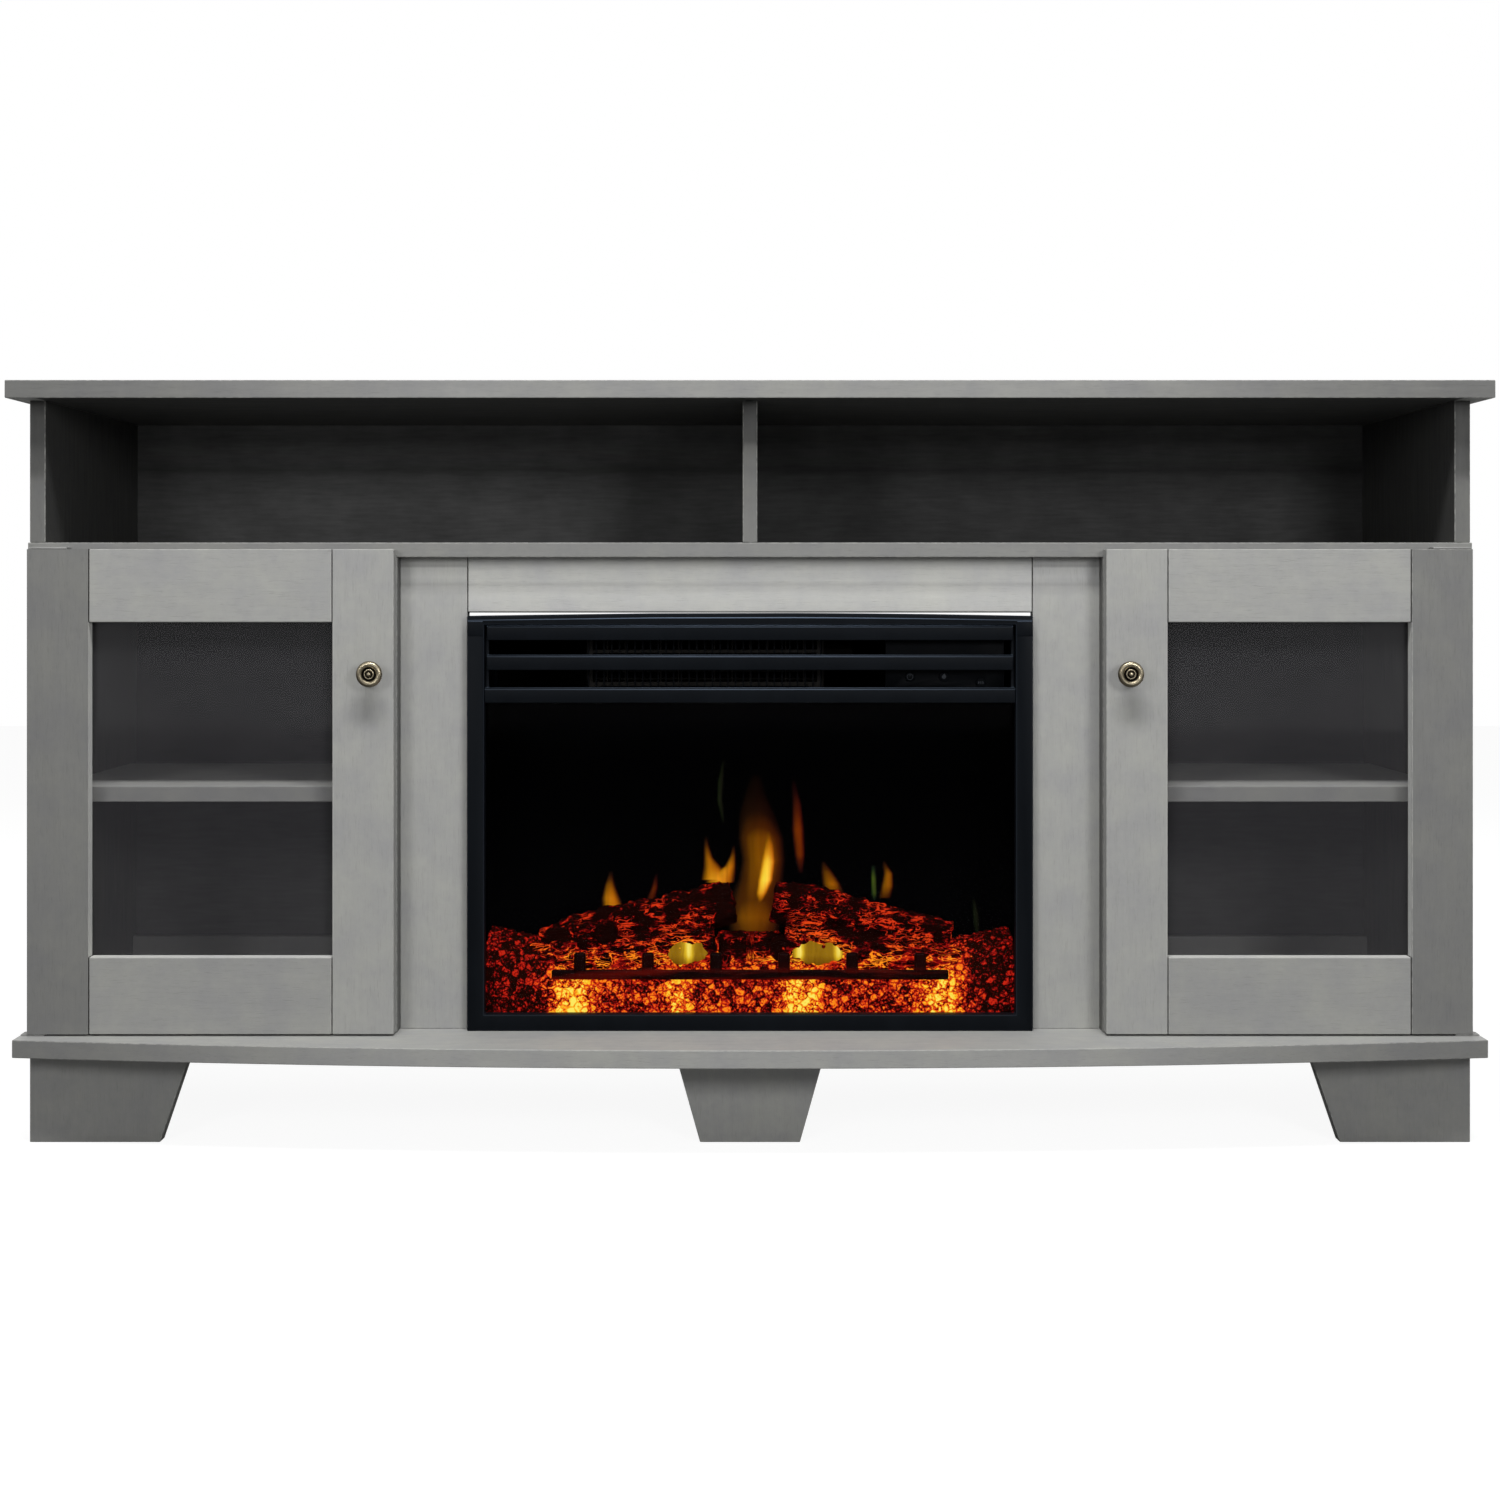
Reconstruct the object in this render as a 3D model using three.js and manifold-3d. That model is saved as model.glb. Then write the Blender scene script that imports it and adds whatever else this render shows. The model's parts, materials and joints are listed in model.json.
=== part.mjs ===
// A fireplace TV stand: a painted cabinet with an open media bay over two glazed door
// cupboards, and an electric fire insert between them.
// Millimetres, +X to the viewer's right, -Y towards the viewer, +Z up. The origin is on the
// floor, at the middle of the whole stand's width and depth.
import * as THREE from "three";
import { mergeVertices } from "three/addons/utils/BufferGeometryUtils.js";
import Module from "manifold-3d";

const wasm = await Module();
wasm.setup();

// Boards of the carcass
const carcassWidth = 1474;
const carcassDepth = 358;
const footHeight = 94;
const baseThickness = 18;
const lowerBayHeight = 485;
const deckThickness = 15;
const upperBayHeight = 145;
const topThickness = 18;
const topEndOverhang = 13.5;
const topFrontOverhang = 32;
const baseEndOverhang = 3.5;
const baseCornerOverhang = 40;
const baseBowRise = 52;
const sideThickness = 16;
const upperSideInset = 2;
const dividerThickness = 15;
const backThickness = 6;
const fireBayWidth = 720;
const innerPanelThickness = 15;
const rearRailHeight = 47;
const rearRailThickness = 15;
const rearRailClearance = 0.3;
const backCutoutMargin = 30;
const backCutoutHeadroom = 60;

// Fixed surround of the fire
const surroundRecess = 20;
const surroundThickness = 18;
const surroundStileWidth = 69;
const surroundRailHeight = 56;

// Shelves on pins
const shelfThickness = 16;
const shelfRise = 234;
const shelfFrontSetback = 15;
const shelfBackGap = 29;
const shelfEndClearance = 0.5;
const shelfPinRadius = 2.5;
const shelfPinReach = 7;
const shelfPinInset = 42;
const shelfPinClearance = 0.2;

// Feet
const footBoardThickness = 18;
const footOuterInset = 2;
const cornerFootTopWidth = 165;
const rearFootTopWidth = 66;
const cornerFootTaper = 32;
const cornerFootSideWidth = 140;
const centreFootTopWidth = 155;
const centreFootTaper = 26.5;

// Doors
const doorThickness = 18;
const doorGap = 2.4;
const doorSideReveal = 5.5;
const doorInnerReveal = 0.5;
const doorBottomClearance = 2;
const doorTopOverlap = 8;
const doorStileWidth = 62;
const doorTopRailHeight = 74;
const doorBottomRailHeight = 78;
const doorGlassThickness = 3;
const doorRabbetWidth = 7;
const glassClearance = 0.3;

// Door pivots and catches
const pivotInset = 5;
const pivotPinRadius = 2.5;
const pivotBoreClearance = 0.3;
const pivotPinLength = 12;
const pivotPlateThickness = 1.7;
const pivotPlateWidth = 24;
const pivotPlateDepth = 14;
const pivotArmClearance = 0.4;
const pivotArmMargin = 5;
const pivotFlangeThickness = 1.2;
const pivotFlangeOffset = 8;
const pivotFlangeWidth = 26;
const pivotFlangeDrop = 7;
const catchWidth = 14;
const catchDepth = 36;
const catchHeight = 44;
const catchClearance = 0.3;

// Knobs
const knobInset = 21.5;
const knobRise = 365;
const knobReach = 25;
const knobHeadRadius = 13.2;
const knobFootRadius = 7;
const knobNeckRadius = 4.6;
const knobFootThickness = 3;
const knobHeadThickness = 9;
const knobRimHeight = 1.6;
const knobDishRadius = 9.4;
const knobRingRadius = 6.4;
const knobRingHeight = 1.4;
const knobDotRadius = 2.2;
const knobDotHeight = 1.8;

// Fire insert: front frame and louvers
const insertSideGap = 1.4;
const insertTopGap = 1;
const frameProud = 13;
const frameDepth = 16;
const sideTrimWidth = 17.4;
const bottomTrimHeight = 16.6;
const capHeight = 12;
const capArchRise = 3;
const grilleClearance = 0.3;
const louverHeight = 15.6;
const louverFlangeDepth = 14;
const louverSheet = 2;
const louverSetback = 1.5;
const upperVentHeight = 15;
const lowerVentHeight = 18;
const endPlateThickness = 3.8;
const endPlateSetback = 6;
const endPlateDepth = 8;
const louverEndOverlap = 1.4;

// Fire insert: housing and window
const sheetThickness = 1.6;
const housingSideGap = 4.6;
const housingTopGap = 7;
const partitionLift = 8.1;
const intakeSlotCount = 18;
const intakeSlotWidth = 6;
const intakeSlotPitch = 14;
const intakeSlotMargin = 17;
const windowThickness = 4;
const windowOverlap = 6;
const seatClearance = 0.3;

// Fire insert: vent guard, control panel and buttons
const guardLeftReach = 168;
const guardRightReach = 74;
const guardFinCount = 31;
const guardFinThickness = 1.4;
const guardDepth = 6;
const guardBarHeight = 5;
const guardHeadroom = 13;
const guardSetback = 12;
const panelThickness = 3;
const panelWidth = 122;
const panelEndGap = 10.2;
const panelSetback = 4;
const buttonRadius = 4.5;
const buttonClearance = 0.3;
const buttonProud = 2.4;
const buttonFlangeRadius = 6;
const buttonFlangeThickness = 1.2;
const powerButtonInset = 25;
const flameButtonInset = 60;
const heatButtonInset = 98;
const buttonRise = 16.4;
const heatButtonDrop = 6;

// Fire insert: flame screen, ember bed, logs and grate
const screenThickness = 3;
const screenSetback = 98;
const emberEndGap = 7.4;
const emberFrontGap = 3;
const emberScreenGap = 2;
const emberFrontHeight = 12;
const emberRearHeight = 64;
const emberRisePower = 0.28;
const emberPileHeight = 24;
const emberPileWidth = 95;
const emberLumpHeight = 4;
const emberLumpLength = 27;
const emberCellsAcross = 60;
const emberCellsDeep = 10;
const logSideCount = 11;
const logRingCount = 10;
const logBarkShare = 0.07;
const logRadius = 25;
const logPileRise = 122;
const rearLogScreenGap = 31.7;
const frontLogSetback = 43;
const grateEndGap = 70;
const grateBarHeight = 10;
const grateBarDepth = 6;
const grateRise = 47;
const grateSetback = 9;
const gratePostCount = 6;
const gratePostEndGap = 29.25;
const gratePostWidth = 9;
const gratePostRise = 18;

// Fire insert: what drives the flames, the light and the heat
const spindleSetback = 34;
const spindleRearRoom = 45;
const spindleRise = 66;
const spindleRadius = 3;
const petalCount = 13;
const petalLength = 22;
const petalWidth = 30;
const petalThickness = 1;
const petalTurnShare = 0.3;
const spindleMotorRadius = 20;
const spindleMotorLength = 22;
const spindleBossRadius = 5;
const spindleBossLength = 3;
const ledBoardEndGap = 43.4;
const ledBoardDepth = 16;
const ledBoardThickness = 1.6;
const ledCount = 16;
const ledSize = 5;
const ledHeight = 1.2;
const wheelRadius = 21;
const wheelShaftRadius = 3;
const wheelBladeCount = 12;
const wheelBladeWidth = 8;
const wheelBladeThickness = 1.2;
const wheelDiscThickness = 2;
const wheelEndGap = 2;
const scrollClearance = 3;
const scrollDuctLength = 44;
const scrollWall = 2;
const scrollFootWidth = 14;
const scrollFootDepth = 50;
const blowerMotorRadius = 17;
const blowerMotorLength = 32;
const shaftClearance = 0.3;
const heaterDepth = 20;
const heaterHeight = 54;
const heaterGap = 4;
const heaterGuardGap = 11;
const heaterRim = 4;
const heaterFinCount = 12;
const heaterFinThickness = 1;
const heaterBarCount = 2;
const heaterBarHeight = 3;
const heaterFootHeight = 6;
const heaterFootWidth = 12;
const glandEndGap = 45;
const glandRise = 38;
const glandNeckRadius = 6.7;
const glandFlangeRadius = 10;
const glandFlangeThickness = 3;
const glandTailLength = 14;
const glandTailRadius = 5.6;
const glandBoreRadius = 3.5;

// How far a cut runs past the face that it opens
const cutOverrun = 1;
const roundSegments = 20;
const smallSegments = 12;

// Levels and planes that the boards share
const overallDepth = carcassDepth + baseCornerOverhang + baseBowRise;
const backY = overallDepth / 2;
const carcassFrontY = backY - carcassDepth;
const backPanelY = backY - backThickness;
const halfCarcass = carcassWidth / 2;
const halfUpper = halfCarcass - upperSideInset;
const halfFireBay = fireBayWidth / 2;
const sideInnerX = halfCarcass - sideThickness;
const innerPanelX = halfFireBay + innerPanelThickness;
const floorZ = footHeight + baseThickness;
const deckZ = floorZ + lowerBayHeight;
const mediaZ = deckZ + deckThickness;
const topZ = mediaZ + upperBayHeight;
const shelfZ = floorZ + shelfRise;

function finish(color, roughness, metalness, opacity = 1) {
  return new THREE.MeshStandardMaterial({ color, roughness, metalness, opacity, transparent: opacity < 1 });
}

const finishes = {
  paint: finish(0xa8a8a3, 0.6, 0),
  doorGlass: finish(0x4a4a4e, 0.08, 0, 0.4),
  brass: finish(0x8a7a5c, 0.35, 1),
  zinc: finish(0x9b9da0, 0.4, 1),
  blackSteel: finish(0x15181c, 0.5, 0.3),
  blackPlastic: finish(0x0c0d0f, 0.6, 0),
  fireGlass: finish(0x1a1a1e, 0.05, 0, 0.3),
  ember: finish(0xb83a0e, 0.8, 0),
  charredResin: finish(0x2a1612, 0.9, 0),
  flameScreen: finish(0x090909, 0.3, 0),
  tinPlate: finish(0xb4b6ba, 0.3, 1),
  circuitBoard: finish(0x1f4a2c, 0.6, 0),
};

const stand = new THREE.Group();

// Solids

function asSolid(geometry) {
  const bare = geometry.clone();
  bare.deleteAttribute("normal");
  bare.deleteAttribute("uv");
  const merged = mergeVertices(bare);
  const corners = Array.from(merged.index.array);
  const kept = [];
  for (let i = 0; i < corners.length; i += 3) {
    const [a, b, c] = corners.slice(i, i + 3);
    if (a !== b && b !== c && c !== a) {
      kept.push(a, b, c);
    }
  }
  const vertProperties = new Float32Array(merged.attributes.position.array);
  return new wasm.Manifold(new wasm.Mesh({ numProp: 3, vertProperties, triVerts: new Uint32Array(kept) }));
}

function asGeometry(solid) {
  const mesh = solid.getMesh();
  const geometry = new THREE.BufferGeometry();
  geometry.setAttribute("position", new THREE.BufferAttribute(new Float32Array(mesh.vertProperties), 3));
  geometry.setIndex(new THREE.BufferAttribute(new Uint32Array(mesh.triVerts), 1));
  const faceted = geometry.toNonIndexed();
  faceted.computeVertexNormals();
  return faceted;
}

function join(...geometries) {
  return asGeometry(geometries.map(asSolid).reduce((all, next) => all.add(next)));
}

function cut(geometry, ...tools) {
  return asGeometry(tools.map(asSolid).reduce((rest, tool) => rest.subtract(tool), asSolid(geometry)));
}

function block([x0, x1], [y0, y1], [z0, z1]) {
  const geometry = new THREE.BoxGeometry(Math.abs(x1 - x0), Math.abs(y1 - y0), Math.abs(z1 - z0));
  return geometry.translate((x0 + x1) / 2, (y0 + y1) / 2, (z0 + z1) / 2);
}

function outline(points) {
  return new THREE.Shape(points.map(([u, v]) => new THREE.Vector2(u, v)));
}

const sectionFrames = {
  x: new THREE.Matrix4().makeBasis(
    new THREE.Vector3(0, 1, 0), new THREE.Vector3(0, 0, 1), new THREE.Vector3(1, 0, 0)),
  y: new THREE.Matrix4().makeBasis(
    new THREE.Vector3(1, 0, 0), new THREE.Vector3(0, 0, 1), new THREE.Vector3(0, -1, 0)),
  z: new THREE.Matrix4(),
};

// A section drawn across an axis and run along it between two places
function prism(section, axis, from, to, curveSegments = smallSegments) {
  const depth = Math.abs(to - from);
  const geometry = new THREE.ExtrudeGeometry(section, { depth, bevelEnabled: false, curveSegments });
  geometry.applyMatrix4(sectionFrames[axis]);
  const start = axis === "y" ? Math.max(from, to) : Math.min(from, to);
  return geometry.translate(axis === "x" ? start : 0, axis === "y" ? start : 0, axis === "z" ? start : 0);
}

// A round bar along an axis, centred on the other two coordinates
function rod(radius, axis, from, to, centre, segments = roundSegments) {
  const geometry = new THREE.CylinderGeometry(radius, radius, Math.abs(to - from), segments);
  if (axis === "x") {
    geometry.rotateZ(Math.PI / 2);
  }
  if (axis === "z") {
    geometry.rotateX(Math.PI / 2);
  }
  const middle = new THREE.Vector3(...centre);
  middle[axis] = (from + to) / 2;
  return geometry.translate(middle.x, middle.y, middle.z);
}

// A profile of [radius, reach] pairs turned about a line along Y, reaching towards +Y or -Y
function turnedAlongY(profile, direction, centre, segments = roundSegments) {
  const points = profile.map(([radius, reach]) => new THREE.Vector2(radius, reach));
  const geometry = new THREE.LatheGeometry(points, segments);
  if (direction < 0) {
    geometry.rotateZ(Math.PI);
  }
  return geometry.translate(...centre);
}

// A block on one side of the middle: side is -1 on the left and 1 on the right
function sideBlock(side, [near, far], ySpan, zSpan) {
  return block([side * near, side * far], ySpan, zSpan);
}

function add(name, geometry, finishName) {
  const mesh = new THREE.Mesh(geometry, finishes[finishName]);
  mesh.name = name;
  stand.add(mesh);
}

const sides = [["left", -1], ["right", 1]];

// Carcass

function bowedBase() {
  const halfBase = halfCarcass + baseEndOverhang;
  const cornerY = carcassFrontY - baseCornerOverhang;
  const bowRadius = (baseBowRise ** 2 + halfBase ** 2) / (2 * baseBowRise);
  const halfAngle = Math.asin(halfBase / bowRadius);
  const shape = new THREE.Shape();
  shape.moveTo(halfBase, backY);
  shape.lineTo(-halfBase, backY);
  shape.lineTo(-halfBase, cornerY);
  const bowCentreY = cornerY - baseBowRise + bowRadius;
  const down = -Math.PI / 2;
  shape.absarc(0, bowCentreY, bowRadius, down - halfAngle, down + halfAngle, false);
  shape.lineTo(halfBase, backY);
  return prism(shape, "z", footHeight, floorZ, roundSegments);
}

function backPanel() {
  const cutoutX = halfFireBay - backCutoutMargin;
  const shape = outline([
    [-halfCarcass, floorZ], [halfCarcass, floorZ], [halfCarcass, mediaZ],
    [halfUpper, mediaZ], [halfUpper, topZ], [-halfUpper, topZ],
    [-halfUpper, mediaZ], [-halfCarcass, mediaZ],
  ]);
  const cutoutZ = floorZ + rearRailHeight;
  const cutoutTopZ = deckZ - backCutoutHeadroom;
  shape.holes.push(outline([
    [-cutoutX, cutoutZ], [-cutoutX, cutoutTopZ], [cutoutX, cutoutTopZ], [cutoutX, cutoutZ],
  ]));
  return prism(shape, "y", backPanelY, backY);
}

// The pins stand out of a panel's face towards the cupboard, just under the shelf
function shelfPins(side, faceX, inward) {
  const z = shelfZ - shelfPinRadius - shelfPinClearance;
  const places = [
    carcassFrontY + shelfFrontSetback + shelfPinInset,
    backPanelY - shelfBackGap - shelfPinInset,
  ];
  const from = side * (faceX - inward * shelfPinRadius);
  const to = side * (faceX + inward * shelfPinReach);
  return places.map((y) => rod(shelfPinRadius, "x", from, to, [0, y, z], smallSegments));
}

function carcass() {
  const boardY = [carcassFrontY, backPanelY];
  const bayZ = [floorZ, deckZ];
  const mediaBayZ = [mediaZ, topZ];
  const halfTop = halfCarcass + topEndOverhang;
  const topY = [carcassFrontY - topFrontOverhang, backY];
  add("top_board", block([-halfTop, halfTop], topY, [topZ, topZ + topThickness]), "paint");
  add("deck_board", block([-halfCarcass, halfCarcass], boardY, [deckZ, mediaZ]), "paint");
  add("base_board", bowedBase(), "paint");
  add("back_panel", backPanel(), "paint");
  add("upper_divider", block([-dividerThickness / 2, dividerThickness / 2], boardY, mediaBayZ), "paint");
  const railFrontY = backPanelY - rearRailThickness;
  const railTopZ = floorZ + rearRailHeight;
  add("rear_rail", block([-sideInnerX, sideInnerX], [railFrontY, backPanelY], [floorZ, railTopZ]), "paint");
  for (const [word, side] of sides) {
    const upperX = [halfUpper - sideThickness, halfUpper];
    add(`upper_${word}_side_panel`, sideBlock(side, upperX, boardY, mediaBayZ), "paint");
    const outer = sideBlock(side, [sideInnerX, halfCarcass], boardY, bayZ);
    add(`lower_${word}_side_panel`, join(outer, ...shelfPins(side, sideInnerX, -1)), "paint");
    const inner = sideBlock(side, [halfFireBay, innerPanelX], boardY, bayZ);
    const notch = sideBlock(
      side,
      [halfFireBay - cutOverrun, innerPanelX + cutOverrun],
      [railFrontY - rearRailClearance, backPanelY + cutOverrun],
      [floorZ - cutOverrun, railTopZ + rearRailClearance]);
    add(`${word}_inner_panel`, cut(join(inner, ...shelfPins(side, innerPanelX, 1)), notch), "paint");
    const shelfX = [innerPanelX + shelfEndClearance, sideInnerX - shelfEndClearance];
    const shelfY = [carcassFrontY + shelfFrontSetback, backPanelY - shelfBackGap];
    add(`${word}_shelf`, sideBlock(side, shelfX, shelfY, [shelfZ, shelfZ + shelfThickness]), "paint");
  }
}

function surround() {
  const y = [carcassFrontY + surroundRecess, carcassFrontY + surroundRecess + surroundThickness];
  const stileX = halfFireBay - surroundStileWidth;
  for (const [word, side] of sides) {
    add(`surround_${word}_stile`, sideBlock(side, [stileX, halfFireBay], y, [floorZ, deckZ]), "paint");
  }
  add("surround_rail", block([-stileX, stileX], y, [deckZ - surroundRailHeight, deckZ]), "paint");
}

// Feet: boards whose inner edges slope in towards the floor

function slopedBoard(outer, topInner, taper) {
  const inward = Math.sign(topInner - outer);
  return outline([[outer, 0], [topInner - inward * taper, 0], [topInner, footHeight], [outer, footHeight]]);
}

function cornerFoot(side, faceY, towardsMiddle, topWidth) {
  const outerX = side * (halfCarcass - footOuterInset);
  const innerX = outerX - side * topWidth;
  const across = prism(
    slopedBoard(outerX, innerX, cornerFootTaper), "y", faceY, faceY + towardsMiddle * footBoardThickness);
  const along = prism(
    slopedBoard(faceY, faceY + towardsMiddle * cornerFootSideWidth, cornerFootTaper),
    "x", outerX, outerX - side * footBoardThickness);
  return join(across, along);
}

function feet() {
  const frontY = carcassFrontY;
  for (const [word, side] of sides) {
    add(`front_${word}_foot`, cornerFoot(side, frontY, 1, cornerFootTopWidth), "paint");
    add(`rear_${word}_foot`, cornerFoot(side, backPanelY, -1, rearFootTopWidth), "paint");
  }
  const halfTop = centreFootTopWidth / 2;
  const halfBottom = halfTop - centreFootTaper;
  const shape = outline([[-halfBottom, 0], [halfBottom, 0], [halfTop, footHeight], [-halfTop, footHeight]]);
  add("front_centre_foot", prism(shape, "y", frontY, frontY + footBoardThickness), "paint");
}

// Doors

const doorBackY = carcassFrontY - doorGap;
const doorFrontY = doorBackY - doorThickness;
const doorOuterX = halfCarcass - doorSideReveal;
const doorInnerX = halfFireBay + doorInnerReveal;
const doorBottomZ = floorZ + doorBottomClearance;
const doorTopZ = deckZ + doorTopOverlap;
const pivotX = doorOuterX - pivotInset;
const pivotY = doorBackY - doorThickness / 2;
const knobX = doorInnerX + knobInset;
const knobZ = doorBottomZ + knobRise;

function doorFrame(word, side) {
  const y = [doorFrontY, doorBackY];
  const paneX = [doorInnerX + doorStileWidth, doorOuterX - doorStileWidth];
  const paneZ = [doorBottomZ + doorBottomRailHeight, doorTopZ - doorTopRailHeight];
  const rabbetX = [paneX[0] - doorRabbetWidth, paneX[1] + doorRabbetWidth];
  const rabbetZ = [paneZ[0] - doorRabbetWidth, paneZ[1] + doorRabbetWidth];
  const rabbetY = doorBackY - doorGlassThickness - glassClearance;
  const rabbet = sideBlock(side, rabbetX, [rabbetY, doorBackY + cutOverrun], rabbetZ);
  const boreRadius = pivotPinRadius + pivotBoreClearance;
  const boreDepth = pivotPinLength + pivotBoreClearance;
  const axis = [side * pivotX, pivotY, 0];
  const lowerBoreZ = [doorBottomZ - cutOverrun, doorBottomZ + boreDepth];
  const upperBoreZ = [doorTopZ - boreDepth, doorTopZ + cutOverrun];
  const lowerBore = rod(boreRadius, "z", ...lowerBoreZ, axis, smallSegments);
  const upperBore = rod(boreRadius, "z", ...upperBoreZ, axis, smallSegments);
  const doorZ = [doorBottomZ, doorTopZ];
  const hingeStile = sideBlock(side, [paneX[1], doorOuterX], y, doorZ);
  add(`${word}_door_hinge_stile`, cut(hingeStile, rabbet, lowerBore, upperBore), "paint");
  add(`${word}_door_lock_stile`, cut(sideBlock(side, [doorInnerX, paneX[0]], y, doorZ), rabbet), "paint");
  add(`${word}_door_top_rail`, cut(sideBlock(side, paneX, y, [paneZ[1], doorTopZ]), rabbet), "paint");
  add(`${word}_door_bottom_rail`, cut(sideBlock(side, paneX, y, [doorBottomZ, paneZ[0]]), rabbet), "paint");
  const glassX = [rabbetX[0] + glassClearance, rabbetX[1] - glassClearance];
  const glassZ = [rabbetZ[0] + glassClearance, rabbetZ[1] - glassClearance];
  const glassY = [rabbetY + glassClearance, doorBackY];
  add(`${word}_door_glass`, sideBlock(side, glassX, glassY, glassZ), "doorGlass");
}

function knob() {
  const headBack = knobReach - knobHeadThickness;
  const rim = knobReach - knobDotHeight;
  const dish = rim - knobRimHeight;
  return [
    [0, 0], [knobFootRadius, 0], [knobFootRadius, knobFootThickness], [knobNeckRadius, knobFootThickness * 2],
    [knobNeckRadius, headBack - knobRimHeight], [knobHeadRadius - knobRimHeight, headBack],
    [knobHeadRadius, headBack + knobRimHeight], [knobHeadRadius, rim - knobRimHeight],
    [knobHeadRadius - knobRimHeight, rim], [knobDishRadius, dish], [knobRingRadius, dish],
    [knobRingRadius - knobRingHeight, dish + knobRingHeight],
    [knobDotRadius, dish + knobRingHeight], [knobDotRadius, knobReach - knobRimHeight],
    [knobDotRadius / 2, knobReach], [0, knobReach],
  ];
}

// Steel pivots: a pin up out of a plate on the base, and a pin down out of a bracket on the deck
function doorPivots(word, side) {
  const axis = [side * pivotX, pivotY, 0];
  const plateTopZ = floorZ + pivotPlateThickness;
  const plate = sideBlock(
    side,
    [pivotX - pivotPlateWidth / 2, pivotX + pivotPlateWidth / 2],
    [pivotY - pivotPlateDepth / 2, pivotY + pivotPlateDepth / 2],
    [floorZ, plateTopZ]);
  const lowerPin = rod(pivotPinRadius, "z", floorZ, doorBottomZ + pivotPinLength, axis, smallSegments);
  add(`${word}_door_lower_pivot`, join(plate, lowerPin), "zinc");
  const armZ = doorTopZ + pivotArmClearance;
  const armTopZ = armZ + pivotPlateThickness;
  const flangeX = [pivotX - pivotFlangeOffset - pivotFlangeWidth, pivotX - pivotFlangeOffset];
  const arm = sideBlock(
    side, [flangeX[0], pivotX + pivotArmMargin], [pivotY - pivotArmMargin, carcassFrontY], [armZ, armTopZ]);
  const flange = sideBlock(
    side, flangeX, [carcassFrontY - pivotFlangeThickness, carcassFrontY], [armZ - pivotFlangeDrop, armTopZ]);
  const upperPin = rod(pivotPinRadius, "z", doorTopZ - pivotPinLength, armTopZ, axis, smallSegments);
  add(`${word}_door_upper_pivot`, join(arm, flange, upperPin), "zinc");
}

function doors() {
  for (const [word, side] of sides) {
    doorFrame(word, side);
    add(`${word}_door_knob`, turnedAlongY(knob(), -1, [side * knobX, doorFrontY, knobZ]), "brass");
    doorPivots(word, side);
    const catchY = [doorBackY + catchClearance, carcassFrontY + catchDepth];
    const catchZ = [knobZ - catchHeight / 2, knobZ + catchHeight / 2];
    const catchX = [innerPanelX, innerPanelX + catchWidth];
    add(`${word}_door_catch`, sideBlock(side, catchX, catchY, catchZ), "blackPlastic");
  }
}

// Fire insert

const openingX = halfFireBay - surroundStileWidth;
const frameX = openingX - insertSideGap;
const frameInnerX = frameX - sideTrimWidth;
const frameFrontY = carcassFrontY + surroundRecess - frameProud;
const frameBackY = frameFrontY + frameDepth;
const frameTopZ = deckZ - surroundRailHeight - insertTopGap;
const capZ = frameTopZ - capHeight;
const sillZ = floorZ + bottomTrimHeight;
const louverTops = [
  capZ - grilleClearance,
  capZ - grilleClearance - louverHeight - upperVentHeight,
  capZ - grilleClearance - 2 * louverHeight - upperVentHeight - lowerVentHeight,
];
const slatBottomZ = louverTops[2] - louverHeight;
const housingX = openingX - insertSideGap - housingSideGap;
const housingTopZ = deckZ - surroundRailHeight - housingTopGap;
const innerHousingX = housingX - sheetThickness;
const chamberFloorZ = floorZ + sheetThickness;
const partitionZ = slatBottomZ + partitionLift;
const blowerFloorZ = partitionZ + sheetThickness;
const screenFrontY = frameBackY + screenSetback;
const screenBackY = screenFrontY + screenThickness;
const spindleY = screenBackY + spindleSetback;
const housingBackY = spindleY + spindleRearRoom;
const windowBackY = frameBackY + seatClearance + windowThickness;
const guardFrontY = frameBackY + guardSetback;
const panelRightX = frameInnerX - panelEndGap;
const panelLeftX = panelRightX - panelWidth;

function insertFrame() {
  const endZ = frameTopZ - capArchRise;
  const archRadius = (capArchRise ** 2 + frameX ** 2) / (2 * capArchRise);
  const halfAngle = Math.asin(frameX / archRadius);
  const up = Math.PI / 2;
  const shape = new THREE.Shape();
  shape.moveTo(-frameX, endZ);
  shape.lineTo(-frameX, floorZ);
  shape.lineTo(frameX, floorZ);
  shape.lineTo(frameX, endZ);
  shape.absarc(0, frameTopZ - archRadius, archRadius, up - halfAngle, up + halfAngle, false);
  shape.holes.push(outline([
    [-frameInnerX, sillZ], [-frameInnerX, capZ], [frameInnerX, capZ], [frameInnerX, sillZ],
  ]));
  add("insert_front_frame", prism(shape, "y", frameFrontY, frameBackY, roundSegments), "blackSteel");
}

// A sheet slat bent back along its top edge
function louver(topZ, halfLength) {
  const front = frameFrontY + louverSetback;
  const section = outline([
    [front, topZ - louverHeight], [front + louverSheet, topZ - louverHeight],
    [front + louverSheet, topZ - louverSheet], [front + louverFlangeDepth, topZ - louverSheet],
    [front + louverFlangeDepth, topZ], [front + louverSheet, topZ], [front, topZ - louverSheet],
  ]);
  return prism(section, "x", -halfLength, halfLength);
}

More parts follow.
